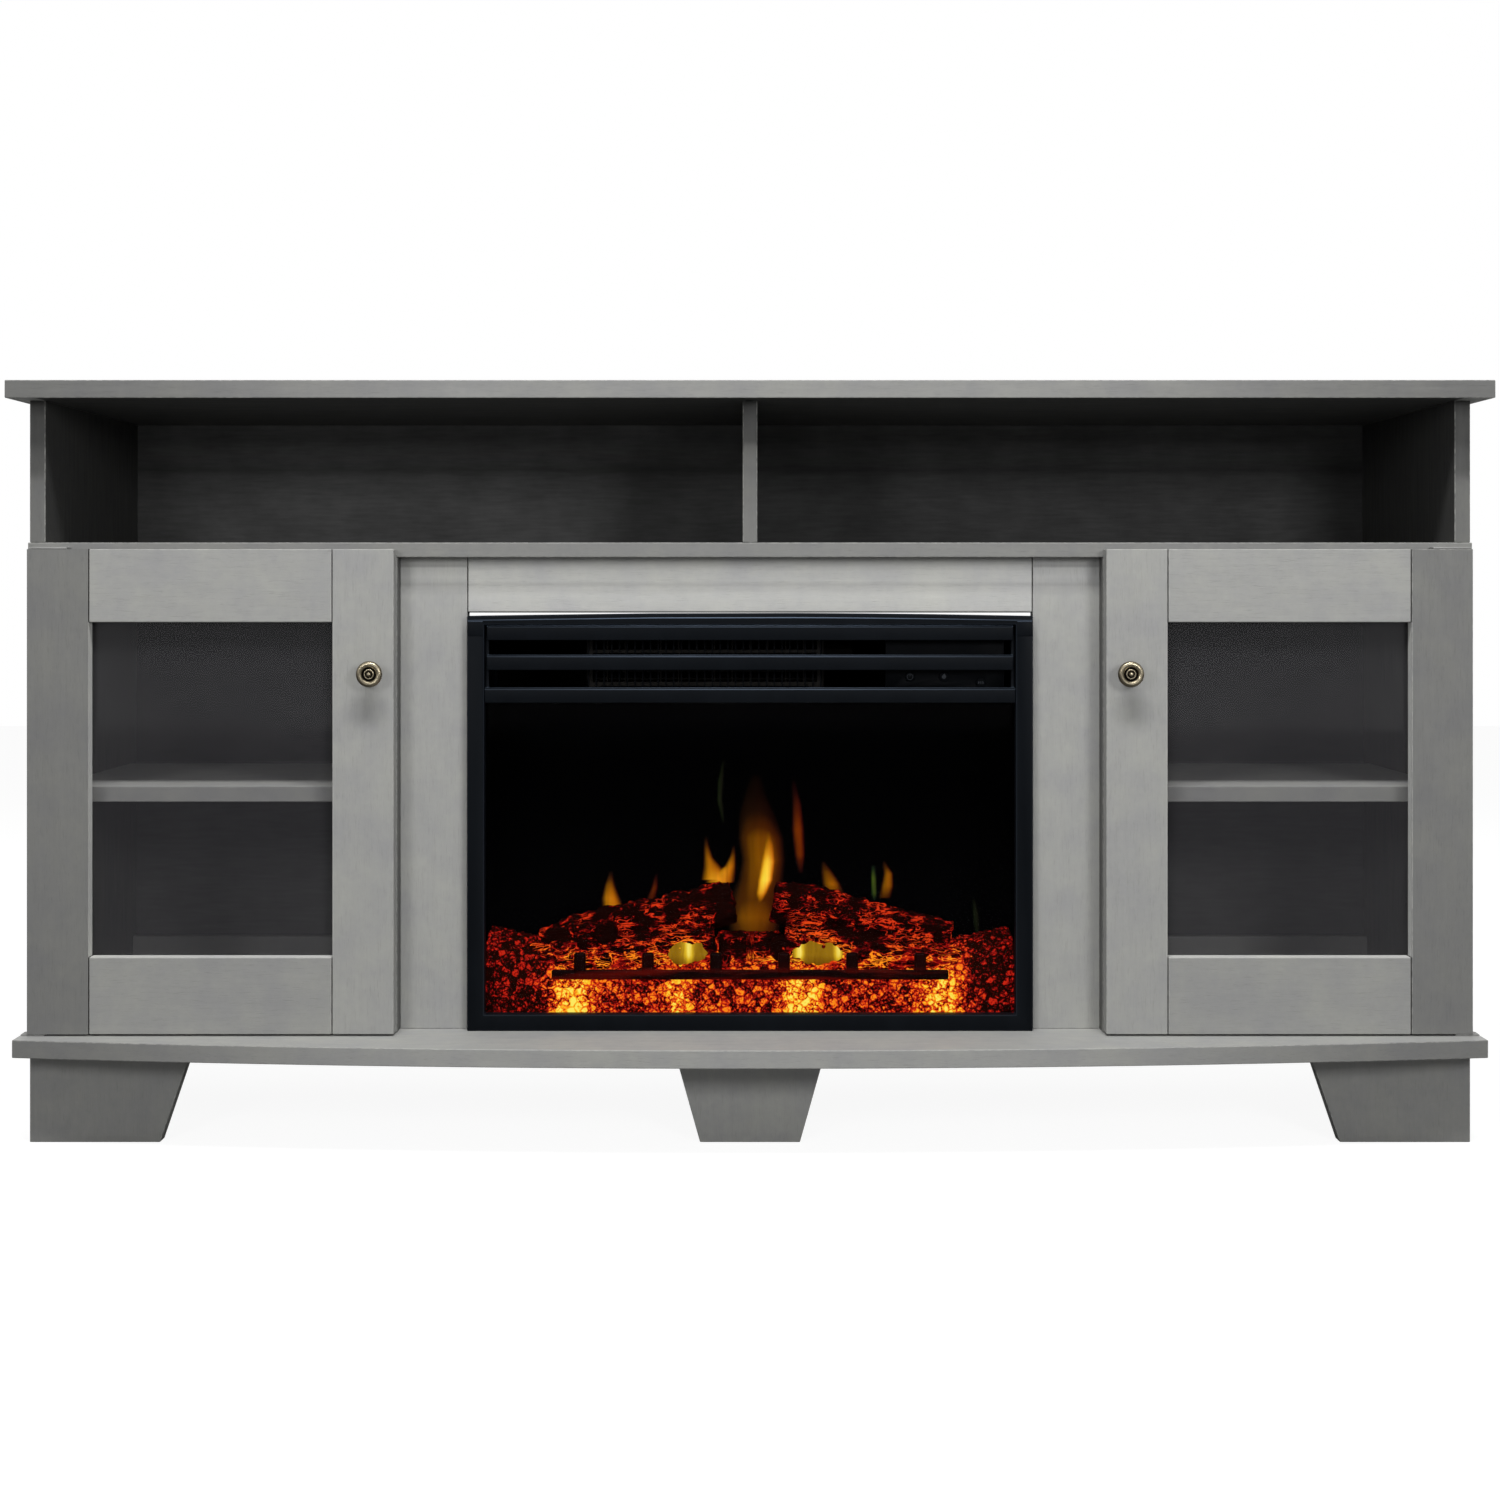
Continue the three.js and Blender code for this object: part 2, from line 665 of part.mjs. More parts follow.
function louverGrille() {
  const outerX = frameInnerX - grilleClearance;
  const innerX = outerX - endPlateThickness;
  const plateY = frameFrontY + louverSetback + endPlateSetback;
  const plates = sides.map(([, side]) => sideBlock(
    side, [innerX, outerX], [plateY, plateY + endPlateDepth], [slatBottomZ, louverTops[0]]));
  const slats = louverTops.map((top, i) => louver(top, i < 2 ? innerX + louverEndOverlap : outerX));
  const tabY = [frameFrontY + louverSetback, plateY + endPlateDepth];
  const tabZ = [slatBottomZ, louverTops[2] - louverSheet];
  const tabs = sides.map(([, side]) => sideBlock(side, [innerX, outerX], tabY, tabZ));
  add("insert_louver_grille", join(...slats, ...plates, ...tabs), "blackSteel");
}

function insertHousing() {
  const outer = block([-housingX, housingX], [frameBackY, housingBackY], [floorZ, housingTopZ]);
  const chamberY = [frameBackY - cutOverrun, housingBackY - sheetThickness];
  const chamber = block([-innerHousingX, innerHousingX], chamberY, [chamberFloorZ, partitionZ]);
  const atticZ = [blowerFloorZ, housingTopZ - sheetThickness];
  const attic = block([-innerHousingX, innerHousingX], chamberY, atticZ);
  const slots = [];
  const firstX = -intakeSlotPitch * (intakeSlotCount - 1) / 2;
  for (let i = 0; i < intakeSlotCount; i += 1) {
    const x = firstX + i * intakeSlotPitch;
    slots.push(block(
      [x - intakeSlotWidth / 2, x + intakeSlotWidth / 2],
      [housingBackY - sheetThickness - cutOverrun, housingBackY + cutOverrun],
      [blowerFloorZ + intakeSlotMargin, housingTopZ - intakeSlotMargin]));
  }
  const glandHole = rod(
    glandNeckRadius + shaftClearance, "y",
    housingBackY - sheetThickness - cutOverrun, housingBackY + cutOverrun,
    [housingX - glandEndGap, 0, floorZ + glandRise], smallSegments);
  add("insert_housing", cut(outer, chamber, attic, ...slots, glandHole), "blackSteel");
}

function fireWindow() {
  const halfWidth = frameInnerX + windowOverlap;
  const y = [frameBackY + seatClearance, windowBackY];
  const z = [sillZ - windowOverlap, slatBottomZ + windowOverlap];
  add("window_glass", block([-halfWidth, halfWidth], y, z), "fireGlass");
}

function ventGuard() {
  const y = [guardFrontY, guardFrontY + guardDepth];
  const topZ0 = housingTopZ - guardHeadroom;
  const bottomZ0 = blowerFloorZ + seatClearance;
  const bars = [
    block([-guardLeftReach, guardRightReach], y, [bottomZ0, bottomZ0 + guardBarHeight]),
    block([-guardLeftReach, guardRightReach], y, [topZ0 - guardBarHeight, topZ0]),
  ];
  const span = guardLeftReach + guardRightReach - guardFinThickness;
  const fins = [];
  for (let i = 0; i < guardFinCount; i += 1) {
    const x = -guardLeftReach + span * i / (guardFinCount - 1);
    fins.push(block([x, x + guardFinThickness], y, [bottomZ0, topZ0]));
  }
  add("vent_guard", join(...bars, ...fins), "blackPlastic");
}

function controls() {
  const panelY = frameBackY + panelSetback;
  const panelBackY = panelY + panelThickness;
  const panelZ = [blowerFloorZ + seatClearance, housingTopZ - guardHeadroom];
  const face = block([panelLeftX, panelRightX], [panelY, panelBackY], panelZ);
  const buttonZ = blowerFloorZ + buttonRise;
  const places = [
    ["power_button", panelLeftX + powerButtonInset, buttonZ],
    ["flame_button", panelLeftX + flameButtonInset, buttonZ],
    ["heat_button", panelLeftX + heatButtonInset, buttonZ - heatButtonDrop],
  ];
  const holes = places.map(([, x, z]) => rod(
    buttonRadius + buttonClearance, "y", panelY - cutOverrun, panelBackY + cutOverrun, [x, 0, z]));
  add("control_panel", cut(face, ...holes), "blackPlastic");
  const flangeStart = panelThickness + buttonProud + buttonClearance;
  const flangeEnd = flangeStart + buttonFlangeThickness;
  const profile = [
    [0, 0], [buttonRadius - buttonClearance, 0], [buttonRadius, buttonClearance], [buttonRadius, flangeStart],
    [buttonFlangeRadius, flangeStart], [buttonFlangeRadius, flangeEnd], [0, flangeEnd],
  ];
  for (const [name, x, z] of places) {
    add(name, turnedAlongY(profile, 1, [x, panelY - buttonProud, z]), "blackPlastic");
  }
}

// Ember bed, logs and grate

const emberFrontY = windowBackY + emberFrontGap;
const emberRearY = screenFrontY - emberScreenGap;
const emberFloorZ = chamberFloorZ + seatClearance;
const emberHalfWidth = innerHousingX - emberEndGap;

// The coals rise steeply behind the window and then lie nearly level
function emberTop(x, y) {
  const rise = ((y - emberFrontY) / (emberRearY - emberFrontY)) ** emberRisePower;
  const slope = emberFrontHeight + (emberRearHeight - emberFrontHeight) * rise;
  const pileStart = emberHalfWidth - emberPileWidth;
  const pileShare = Math.max(0, Math.abs(x) - pileStart) / emberPileWidth;
  const pile = emberPileHeight * Math.sin(pileShare * Math.PI / 2) ** 2 * rise;
  const turn = 2 * Math.PI / emberLumpLength;
  const lumps = Math.sin(x * turn + Math.sin(y * turn)) * Math.cos(y * turn + Math.sin(x * turn / 2));
  return floorZ + slope + pile + emberLumpHeight * lumps;
}

// A closed block with a flat foot and the ember bed's top, raised by a clearance
function emberBlock(clearance, footZ) {
  const points = [];
  const across = emberCellsAcross + 1;
  const deep = emberCellsDeep + 1;
  for (const top of [true, false]) {
    for (let j = 0; j < deep; j += 1) {
      for (let i = 0; i < across; i += 1) {
        const x = emberHalfWidth * (2 * i / emberCellsAcross - 1);
        const y = emberFrontY + (emberRearY - emberFrontY) * j / emberCellsDeep;
        points.push(x, y, top ? emberTop(x, y) + clearance : footZ);
      }
    }
  }
  const faces = [];
  const at = (i, j, below) => j * across + i + (below ? across * deep : 0);
  const quad = (a, b, c, d) => faces.push(a, b, c, a, c, d);
  for (let j = 0; j < emberCellsDeep; j += 1) {
    for (let i = 0; i < emberCellsAcross; i += 1) {
      quad(at(i, j), at(i + 1, j), at(i + 1, j + 1), at(i, j + 1));
      quad(at(i, j, 1), at(i, j + 1, 1), at(i + 1, j + 1, 1), at(i + 1, j, 1));
    }
    quad(at(0, j), at(0, j + 1), at(0, j + 1, 1), at(0, j, 1));
    const end = emberCellsAcross;
    quad(at(end, j), at(end, j, 1), at(end, j + 1, 1), at(end, j + 1));
  }
  for (let i = 0; i < emberCellsAcross; i += 1) {
    quad(at(i, 0), at(i, 0, 1), at(i + 1, 0, 1), at(i + 1, 0));
    const back = emberCellsDeep;
    quad(at(i, back), at(i + 1, back), at(i + 1, back, 1), at(i, back, 1));
  }
  const geometry = new THREE.BufferGeometry();
  geometry.setAttribute("position", new THREE.Float32BufferAttribute(points, 3));
  geometry.setIndex(faces);
  return geometry;
}

// A log between two ends, with a rough bark and domed ends
function barkedLog(start, end, startRadius, endRadius, phase) {
  const from = new THREE.Vector3(...start);
  const axis = new THREE.Vector3(...end).sub(from);
  const up = new THREE.Vector3(0, 0, 1);
  const sideways = new THREE.Vector3().crossVectors(axis, up).normalize();
  const lift = new THREE.Vector3().crossVectors(sideways, axis).normalize();
  const points = [from.x, from.y, from.z];
  for (let ring = 0; ring < logRingCount; ring += 1) {
    const along = ring / (logRingCount - 1);
    const nearEnd = ring === 0 || ring === logRingCount - 1;
    const plain = (startRadius + (endRadius - startRadius) * along) * (nearEnd ? 1 - 2 * logBarkShare : 1);
    for (let k = 0; k < logSideCount; k += 1) {
      const angle = 2 * Math.PI * k / logSideCount;
      const ridges = Math.sin(3 * angle + phase + 5 * along) + Math.cos(9 * along + 2 * angle + phase);
      const bark = 1 + logBarkShare * ridges;
      const centre = from.clone().addScaledVector(axis, along);
      centre.addScaledVector(sideways, plain * bark * Math.cos(angle));
      centre.addScaledVector(lift, plain * bark * Math.sin(angle));
      points.push(centre.x, centre.y, centre.z);
    }
  }
  points.push(...end);
  const last = 1 + logRingCount * logSideCount;
  const at = (ring, k) => 1 + ring * logSideCount + k % logSideCount;
  const faces = [];
  for (let k = 0; k < logSideCount; k += 1) {
    faces.push(0, at(0, k), at(0, k + 1));
    faces.push(last, at(logRingCount - 1, k + 1), at(logRingCount - 1, k));
    for (let ring = 0; ring < logRingCount - 1; ring += 1) {
      faces.push(at(ring, k), at(ring + 1, k), at(ring + 1, k + 1));
      faces.push(at(ring, k), at(ring + 1, k + 1), at(ring, k + 1));
    }
  }
  const geometry = new THREE.BufferGeometry();
  geometry.setAttribute("position", new THREE.Float32BufferAttribute(points, 3));
  geometry.setIndex(faces);
  return geometry;
}

// Each log's two ends: how far across the bed and up the pile, and how thick, as shares
const logShares = [
  { rear: true, ends: [[-0.8, 0.64], [-0.065, 1]], thickness: [0.76, 1] },
  { rear: true, ends: [[0.09, 0.99], [0.77, 0.69]], thickness: [1, 0.76] },
  { rear: false, ends: [[-0.855, 0.475], [-0.13, 0.67]], thickness: [0.8, 0.84] },
  { rear: false, ends: [[0.125, 0.69], [0.87, 0.44]], thickness: [0.84, 0.76] },
  { rear: true, ends: [[-0.35, 0.51], [0.355, 0.51]], thickness: [0.92, 0.92] },
];

function logSet(bed) {
  const logs = logShares.map(({ rear, ends, thickness }, i) => {
    const y = rear ? screenFrontY - rearLogScreenGap : windowBackY + frontLogSetback;
    const [start, end] = ends.map(([across, up]) => [across * emberHalfWidth, y, floorZ + up * logPileRise]);
    return barkedLog(start, end, thickness[0] * logRadius, thickness[1] * logRadius, i);
  });
  add("log_set", cut(join(...logs), bed), "charredResin");
}

function fireGrate(bed) {
  const y0 = emberFrontY + grateSetback;
  const y = [y0, y0 + grateBarDepth];
  const barZ = floorZ + grateRise;
  const barTopZ = barZ + grateBarHeight;
  const halfWidth = emberHalfWidth - grateEndGap;
  const pieces = [block([-halfWidth, halfWidth], y, [barZ, barTopZ])];
  const lastX = halfWidth - gratePostEndGap;
  for (let i = 0; i < gratePostCount; i += 1) {
    const x = lastX * (2 * i / (gratePostCount - 1) - 1);
    const postX = [x - gratePostWidth / 2, x + gratePostWidth / 2];
    pieces.push(block(postX, y, [emberFloorZ, barTopZ + gratePostRise]));
  }
  add("fire_grate", cut(join(...pieces), bed), "blackSteel");
}

function fuelBed() {
  const footZ = chamberFloorZ - cutOverrun;
  const trim = block(
    [-emberHalfWidth - cutOverrun, emberHalfWidth + cutOverrun],
    [emberFrontY - cutOverrun, emberRearY + cutOverrun], [footZ - cutOverrun, emberFloorZ]);
  add("ember_bed", cut(emberBlock(0, footZ), trim), "ember");
  const bed = emberBlock(seatClearance, footZ);
  logSet(bed);
  fireGrate(bed);
}

// Flame effect behind the screen

function flameEffect() {
  const reach = innerHousingX - seatClearance;
  const screenZ = [emberFloorZ, partitionZ - seatClearance];
  add("flame_screen", block([-reach, reach], [screenFrontY, screenBackY], screenZ), "flameScreen");
  const axisZ = floorZ + spindleRise;
  const motorX = reach - spindleMotorLength;
  const bossX = motorX - spindleBossLength;
  const shaftEnd = bossX - shaftClearance;
  const centre = [0, spindleY, axisZ];
  const pieces = [rod(spindleRadius, "x", -reach, shaftEnd, centre, smallSegments)];
  const pitch = (shaftEnd + reach) / (petalCount + 1);
  for (let i = 0; i < petalCount; i += 1) {
    const x = -reach + pitch * (i + 1);
    const petal = new THREE.BoxGeometry(petalLength, petalThickness, petalWidth);
    petal.rotateX(i * petalTurnShare * Math.PI);
    pieces.push(petal.translate(x, spindleY, axisZ));
  }
  add("flame_spindle", join(...pieces), "tinPlate");
  const body = rod(spindleMotorRadius, "x", motorX, reach, centre);
  const boss = rod(spindleBossRadius, "x", bossX, motorX + cutOverrun, centre, smallSegments);
  add("spindle_motor", join(body, boss), "tinPlate");
  const boardY = [screenBackY + seatClearance, screenBackY + seatClearance + ledBoardDepth];
  const boardTopZ = emberFloorZ + ledBoardThickness;
  const halfBoard = innerHousingX - ledBoardEndGap;
  const board = [block([-halfBoard, halfBoard], boardY, [emberFloorZ, boardTopZ])];
  const ledY = (boardY[0] + boardY[1]) / 2;
  for (let i = 0; i < ledCount; i += 1) {
    const x = 2 * halfBoard * ((i + 1 / 2) / ledCount - 1 / 2);
    board.push(block(
      [x - ledSize / 2, x + ledSize / 2], [ledY - ledSize / 2, ledY + ledSize / 2],
      [boardTopZ - ledBoardThickness / 2, boardTopZ + ledHeight]));
  }
  add("led_board", join(...board), "circuitBoard");
}

// Blower and heater over the partition

function blower() {
  const heaterFrontY = guardFrontY + guardDepth + heaterGuardGap;
  const heaterY = [heaterFrontY, heaterFrontY + heaterDepth];
  const mouthY = heaterY[1] + heaterGap;
  const axisY = mouthY + scrollDuctLength + wheelRadius;
  const axisZ = (blowerFloorZ + housingTopZ - sheetThickness) / 2;
  const centre = [0, axisY, axisZ];
  const middleX = (guardRightReach - guardLeftReach) / 2;
  const discs = [-guardLeftReach, middleX, guardRightReach - wheelDiscThickness];
  const wheel = discs.map((x) => rod(wheelRadius, "x", x, x + wheelDiscThickness, centre));
  for (let i = 0; i < wheelBladeCount; i += 1) {
    const blade = new THREE.BoxGeometry(
      guardLeftReach + guardRightReach - wheelDiscThickness, wheelBladeThickness, wheelBladeWidth);
    blade.translate(0, 0, wheelRadius - wheelBladeWidth / 2 - wheelBladeThickness);
    blade.rotateX(2 * Math.PI * i / wheelBladeCount);
    wheel.push(blade.translate(middleX, axisY, axisZ));
  }
  const plateLeft = [-guardLeftReach - wheelEndGap - scrollWall, -guardLeftReach - wheelEndGap];
  const plateRight = [guardRightReach + wheelEndGap, guardRightReach + wheelEndGap + scrollWall];
  wheel.push(rod(wheelShaftRadius, "x", plateLeft[0], plateRight[1], centre, smallSegments));
  add("blower_wheel", join(...wheel), "tinPlate");

  const innerRadius = wheelRadius + scrollClearance;
  const outerRadius = innerRadius + scrollWall;
  const shell = [
    rod(outerRadius, "x", plateLeft[0], plateRight[1], centre),
    block([plateLeft[0], plateRight[1]], [mouthY, axisY], [axisZ - outerRadius, axisZ + outerRadius]),
  ];
  const hollowX = [plateLeft[1], plateRight[0]];
  const hollow = [
    rod(innerRadius, "x", hollowX[0], hollowX[1], centre),
    block(hollowX, [mouthY - cutOverrun, axisY], [axisZ - innerRadius, axisZ + innerRadius]),
    block(
      hollowX, [axisY + wheelShaftRadius, axisY + outerRadius + cutOverrun],
      [axisZ + wheelShaftRadius, axisZ + outerRadius + cutOverrun]),
  ];
  const footY = [axisY - scrollFootDepth, axisY];
  const footZ = [blowerFloorZ, axisZ - innerRadius - scrollWall / 2];
  const feetPieces = [plateLeft[0], plateRight[1] - scrollFootWidth].map(
    (x) => block([x, x + scrollFootWidth], footY, footZ));
  const motorX = plateRight[1] - scrollWall / 2;
  const motor = rod(blowerMotorRadius, "x", motorX, plateRight[1] + blowerMotorLength, centre);
  const bore = rod(
    wheelShaftRadius + shaftClearance, "x", plateLeft[0] - cutOverrun, plateRight[1] + shaftClearance,
    centre, smallSegments);
  add("blower_housing", cut(join(...shell, ...feetPieces, motor), ...hollow, bore), "tinPlate");

  const heaterZ = blowerFloorZ + heaterFootHeight;
  const rimX = [-guardLeftReach, guardRightReach];
  const rim = cut(
    block(rimX, heaterY, [heaterZ, heaterZ + heaterHeight]),
    block(
      [rimX[0] + heaterRim, rimX[1] - heaterRim], [heaterY[0] - cutOverrun, heaterY[1] + cutOverrun],
      [heaterZ + heaterRim, heaterZ + heaterHeight - heaterRim]));
  const pieces = [rim];
  for (let i = 1; i <= heaterBarCount; i += 1) {
    const z = heaterZ + heaterHeight * i / (heaterBarCount + 1);
    pieces.push(block(rimX, heaterY, [z - heaterBarHeight / 2, z + heaterBarHeight / 2]));
  }
  for (let i = 1; i <= heaterFinCount; i += 1) {
    const x = rimX[0] + (rimX[1] - rimX[0]) * i / (heaterFinCount + 1);
    pieces.push(block([x, x + heaterFinThickness], heaterY, [heaterZ, heaterZ + heaterHeight]));
  }
  for (const x of [rimX[0], rimX[1] - heaterFootWidth]) {
    pieces.push(block([x, x + heaterFootWidth], heaterY, [blowerFloorZ, heaterZ + heaterRim / 2]));
  }
  add("heater_element", join(...pieces), "tinPlate");
}

// The gland where the mains lead enters, clipped in the housing's back
function cordGland() {
  const neckEnd = sheetThickness + seatClearance;
  const nutEnd = neckEnd + glandFlangeThickness;
  const profile = [
    [glandBoreRadius, -glandTailLength], [glandTailRadius, -glandTailLength],
    [glandNeckRadius, -glandFlangeThickness], [glandFlangeRadius, -glandFlangeThickness],
    [glandFlangeRadius, 0], [glandNeckRadius, 0], [glandNeckRadius, neckEnd],
    [glandFlangeRadius, neckEnd], [glandFlangeRadius, nutEnd], [glandBoreRadius, nutEnd],
    [glandBoreRadius, -glandTailLength],
  ];
  const geometry = turnedAlongY(profile, -1, [housingX - glandEndGap, housingBackY, floorZ + glandRise]);
  add("cord_gland", geometry, "blackPlastic");
}

carcass();
surround();
feet();
doors();
insertFrame();
louverGrille();
insertHousing();
fireWindow();
ventGuard();
controls();
fuelBed();
flameEffect();
blower();
cordGland();

export default stand;
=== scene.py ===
"""The looks of a fireplace TV stand: painted boards, glazed doors and an electric fire insert."""

import json
import logging
import math
from collections.abc import Callable, Iterator, Sequence
from contextlib import contextmanager
from dataclasses import astuple, dataclass, field, replace
from enum import Enum

import bmesh
import bpy
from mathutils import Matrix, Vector

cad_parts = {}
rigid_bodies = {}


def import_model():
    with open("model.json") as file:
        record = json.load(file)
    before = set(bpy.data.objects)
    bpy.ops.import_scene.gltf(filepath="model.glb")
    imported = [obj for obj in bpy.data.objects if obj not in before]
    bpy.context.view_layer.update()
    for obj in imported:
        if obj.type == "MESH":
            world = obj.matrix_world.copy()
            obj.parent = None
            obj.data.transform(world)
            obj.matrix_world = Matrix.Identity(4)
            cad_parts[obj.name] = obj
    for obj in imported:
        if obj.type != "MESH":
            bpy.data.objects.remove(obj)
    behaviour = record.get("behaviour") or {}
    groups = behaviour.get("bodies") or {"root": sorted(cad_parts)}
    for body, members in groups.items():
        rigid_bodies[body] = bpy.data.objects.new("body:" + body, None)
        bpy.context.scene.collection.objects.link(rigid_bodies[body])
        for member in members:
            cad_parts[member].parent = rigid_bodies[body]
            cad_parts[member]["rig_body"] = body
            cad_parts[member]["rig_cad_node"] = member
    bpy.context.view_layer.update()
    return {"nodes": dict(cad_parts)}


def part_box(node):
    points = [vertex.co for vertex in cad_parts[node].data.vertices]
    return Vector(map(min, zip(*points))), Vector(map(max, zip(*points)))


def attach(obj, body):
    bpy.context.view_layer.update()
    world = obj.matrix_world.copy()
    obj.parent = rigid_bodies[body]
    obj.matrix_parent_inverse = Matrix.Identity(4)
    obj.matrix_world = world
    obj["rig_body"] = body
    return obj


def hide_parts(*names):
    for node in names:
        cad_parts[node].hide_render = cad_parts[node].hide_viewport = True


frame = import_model()
report = logging.getLogger("fireplace_stand")

Piece = bpy.types.Object
Socket = bpy.types.NodeSocket
Material = bpy.types.Material
Colour = tuple[float, float, float]
Place = tuple[float, float, float]
Span = tuple[float, float]
Stops = tuple[tuple[float, Colour], ...]
Knots = tuple[Span, ...]
FaceRule = Callable[[Vector, Vector], bool]
ToneRule = Callable[[Vector, Vector], float]
PointRule = Callable[[Vector], float]

MILLIMETRE = 0.001
EVEN: Place = (1, 1, 1)
UNIT: Span = (0, 1)
CLOUD_MIDDLE = 0.5
X, Y, Z = range(3)
SIDES = ("left", "right")
# How far a face's normal leans along an axis that it faces, and one that it is square to
FACING = 0.5
SQUARE = 0.9
# How near points count as one point, and how nearly level faces as one face
SAME_POINT = 0.000002
SAME_TURNED_POINT = 0.000005
SAME_FACE = math.radians(0.5)
# The least angles, in degrees, between faces that meet at an edge, on a plain piece and a lumpy one
EDGE_ANGLE = 35
LUMPY_ANGLE = 60


class Grain(Enum):
    """The way a board's grain runs, as long and fine directions along X, Y and Z."""

    ALONG_X = (1, 0, 0)
    ALONG_Z = (0, 0, 1)


class Pattern(Enum):
    """What a texture shows."""

    CLOUDS = "TexNoise"
    CRACKS = "TexVoronoi"


@dataclass(frozen=True)
class Texture:
    """A pattern: its waves in a metre, its finer layers, and how its values are spread out.

    The finer layers have a number and a strength. The values between the ends of span are spread over
    out. The places are stretched first, and warp twists them.
    """

    scale: float = 1
    detail: float = 3
    rough: float = 0.55
    span: Span = (0.3, 0.7)
    out: Span = (0, 1)
    stretch: Place = (1, 1, 1)
    warp: float = 0
    kind: Pattern = Pattern.CLOUDS


def srgb(red: int, green: int, blue: int) -> Colour:
    """Turns a colour as it is seen, 0 to 255 each, into the linear values that a shader takes."""
    return tuple(
        c / 12.92 if c <= 0.04045 else ((c + 0.055) / 1.055) ** 2.4
        for c in (red / 255, green / 255, blue / 255)
    )


def rgba(colour: Colour) -> tuple[float, float, float, float]:
    """The colour with full cover."""
    return (*colour, 1.0)


def shaded(colour: Colour, share: float) -> Colour:
    """The colour made darker or lighter by a share."""
    return tuple(c * share for c in colour)


# Materials


class Graph:
    """The node tree of a material or of the world."""

    def __init__(self, name: str, owners: bpy.types.bpy_prop_collection | None = None) -> None:
        """Starts an empty tree.

        Args:
            name: the name of what the tree is for.
            owners: the list that this joins, if it isn't a material.
        """
        self.owner = (bpy.data.materials if owners is None else owners).new(name)
        self.owner.use_nodes = True
        self.tree = self.owner.node_tree
        self.tree.nodes.clear()

    def add(self, kind: str, inputs: dict | None = None, **settings: object) -> bpy.types.Node:
        """Adds a node and fills or links its inputs.

        Args:
            kind: the node's type, without the words before it.
            inputs: values or sockets by input name or number.
            **settings: properties of the node itself.

        Returns:
            The new node.
        """
        node = self.tree.nodes.new(f"ShaderNode{kind}")
        for key, value in settings.items():
            setattr(node, key, value)
        for key, value in (inputs or {}).items():
            if isinstance(value, Socket):
                self.tree.links.new(value, node.inputs[key])
            else:
                node.inputs[key].default_value = value
        return node

    def place(self, scale: Place = EVEN, turn: Place = (0, 0, 0)) -> Socket:
        """The object's own coordinates, turned and scaled."""
        coordinates = self.add("TexCoord").outputs["Object"]
        return self.add("Mapping", {"Vector": coordinates, "Scale": scale, "Rotation": turn}).outputs[0]

    def across(self) -> Socket:
        """The place along X."""
        return self.add("SeparateXYZ", {0: self.place()}).outputs[0]

    def pattern(self, texture: Texture, where: Socket | None = None) -> Socket:
        """A texture's own values: clouds, about 0.5 on average, or the distance to the nearest crack.

        Args:
            texture: the texture.
            where: where it is read, if not at the object's own coordinates.

        Returns:
            Its values.
        """
        inputs = {"Vector": self.place(texture.stretch) if where is None else where, "Scale": texture.scale}
        if texture.kind is Pattern.CRACKS:
            return self.add(texture.kind.value, inputs, feature="DISTANCE_TO_EDGE").outputs["Distance"]
        inputs |= {"Detail": texture.detail, "Roughness": texture.rough, "Distortion": texture.warp}
        return self.add(texture.kind.value, inputs).outputs[0]

    def spread(self, texture: Texture, where: Socket | None = None) -> Socket:
        """A texture's values, spread out."""
        return self.level(self.pattern(texture, where), texture.span, texture.out)

    def warped(self, vector: Socket, scale: float, amount: float) -> Socket:
        """Shifts places by a cloudy pattern, so that what is read there runs less straight.

        Args:
            vector: the places.
            scale: how many waves lie in a metre.
            amount: how far they shift, in metres.

        Returns:
            The shifted places.
        """
        cloud = self.add("TexNoise", {"Vector": vector, "Scale": scale, "Detail": 2}).outputs[1]
        inputs = {0: cloud, 1: (amount,) * 3, 2: (-amount / 2,) * 3}
        shift = self.add("VectorMath", inputs, operation="MULTIPLY_ADD").outputs[0]
        return self.add("VectorMath", {0: vector, 1: shift}, operation="ADD").outputs[0]

    def ramp(self, value: Socket, stops: Stops) -> Socket:
        """Colours by value.

        Args:
            value: what picks the colour.
            stops: values with their colours, in rising order.

        Returns:
            The colour.
        """
        node = self.add("ValToRGB", {0: value})
        elements = node.color_ramp.elements
        while len(elements) < len(stops):
            elements.new(1)
        for element, (place, colour) in zip(elements, stops):
            element.position = place
            element.color = rgba(colour)
        return node.outputs[0]

    def level(self, value: Socket, span: Span = UNIT, out: Span = UNIT) -> Socket:
        """Spreads the values of one span over another, and holds them there."""
        names = ("Value", "From Min", "From Max", "To Min", "To Max")
        return self.add("MapRange", dict(zip(names, (value, *span, *out))), clamp=True).outputs[0]

    def maths(self, operation: str, first: object, second: object = 0) -> Socket:
        """One sum of two values."""
        return self.add("Math", {0: first, 1: second}, operation=operation).outputs[0]

    def times(self, first: object, second: object) -> Socket:
        """One value times another."""
        return self.maths("MULTIPLY", first, second)

    def plus(self, first: object, *others: object) -> Socket:
        """The values added up."""
        for other in others:
            first = self.maths("ADD", first, other)
        return first

    def blend(self, share: object, first: object, second: object, how: str = "MIX") -> Socket:
        """Blends two colours.

        Args:
            share: how much of the second shows.
            first: the colour below.
            second: the colour above.
            how: the blend's kind.

        Returns:
            The blended colour.
        """
        colours = [rgba(c) if isinstance(c, tuple) else c for c in (first, second)]
        inputs = {0: share, 6: colours[0], 7: colours[1]}
        return self.add("Mix", inputs, data_type="RGBA", blend_type=how).outputs[2]

    def tinted(self, first: object, second: object) -> Socket:
        """One colour times another."""
        return self.blend(1.0, first, second, "MULTIPLY")

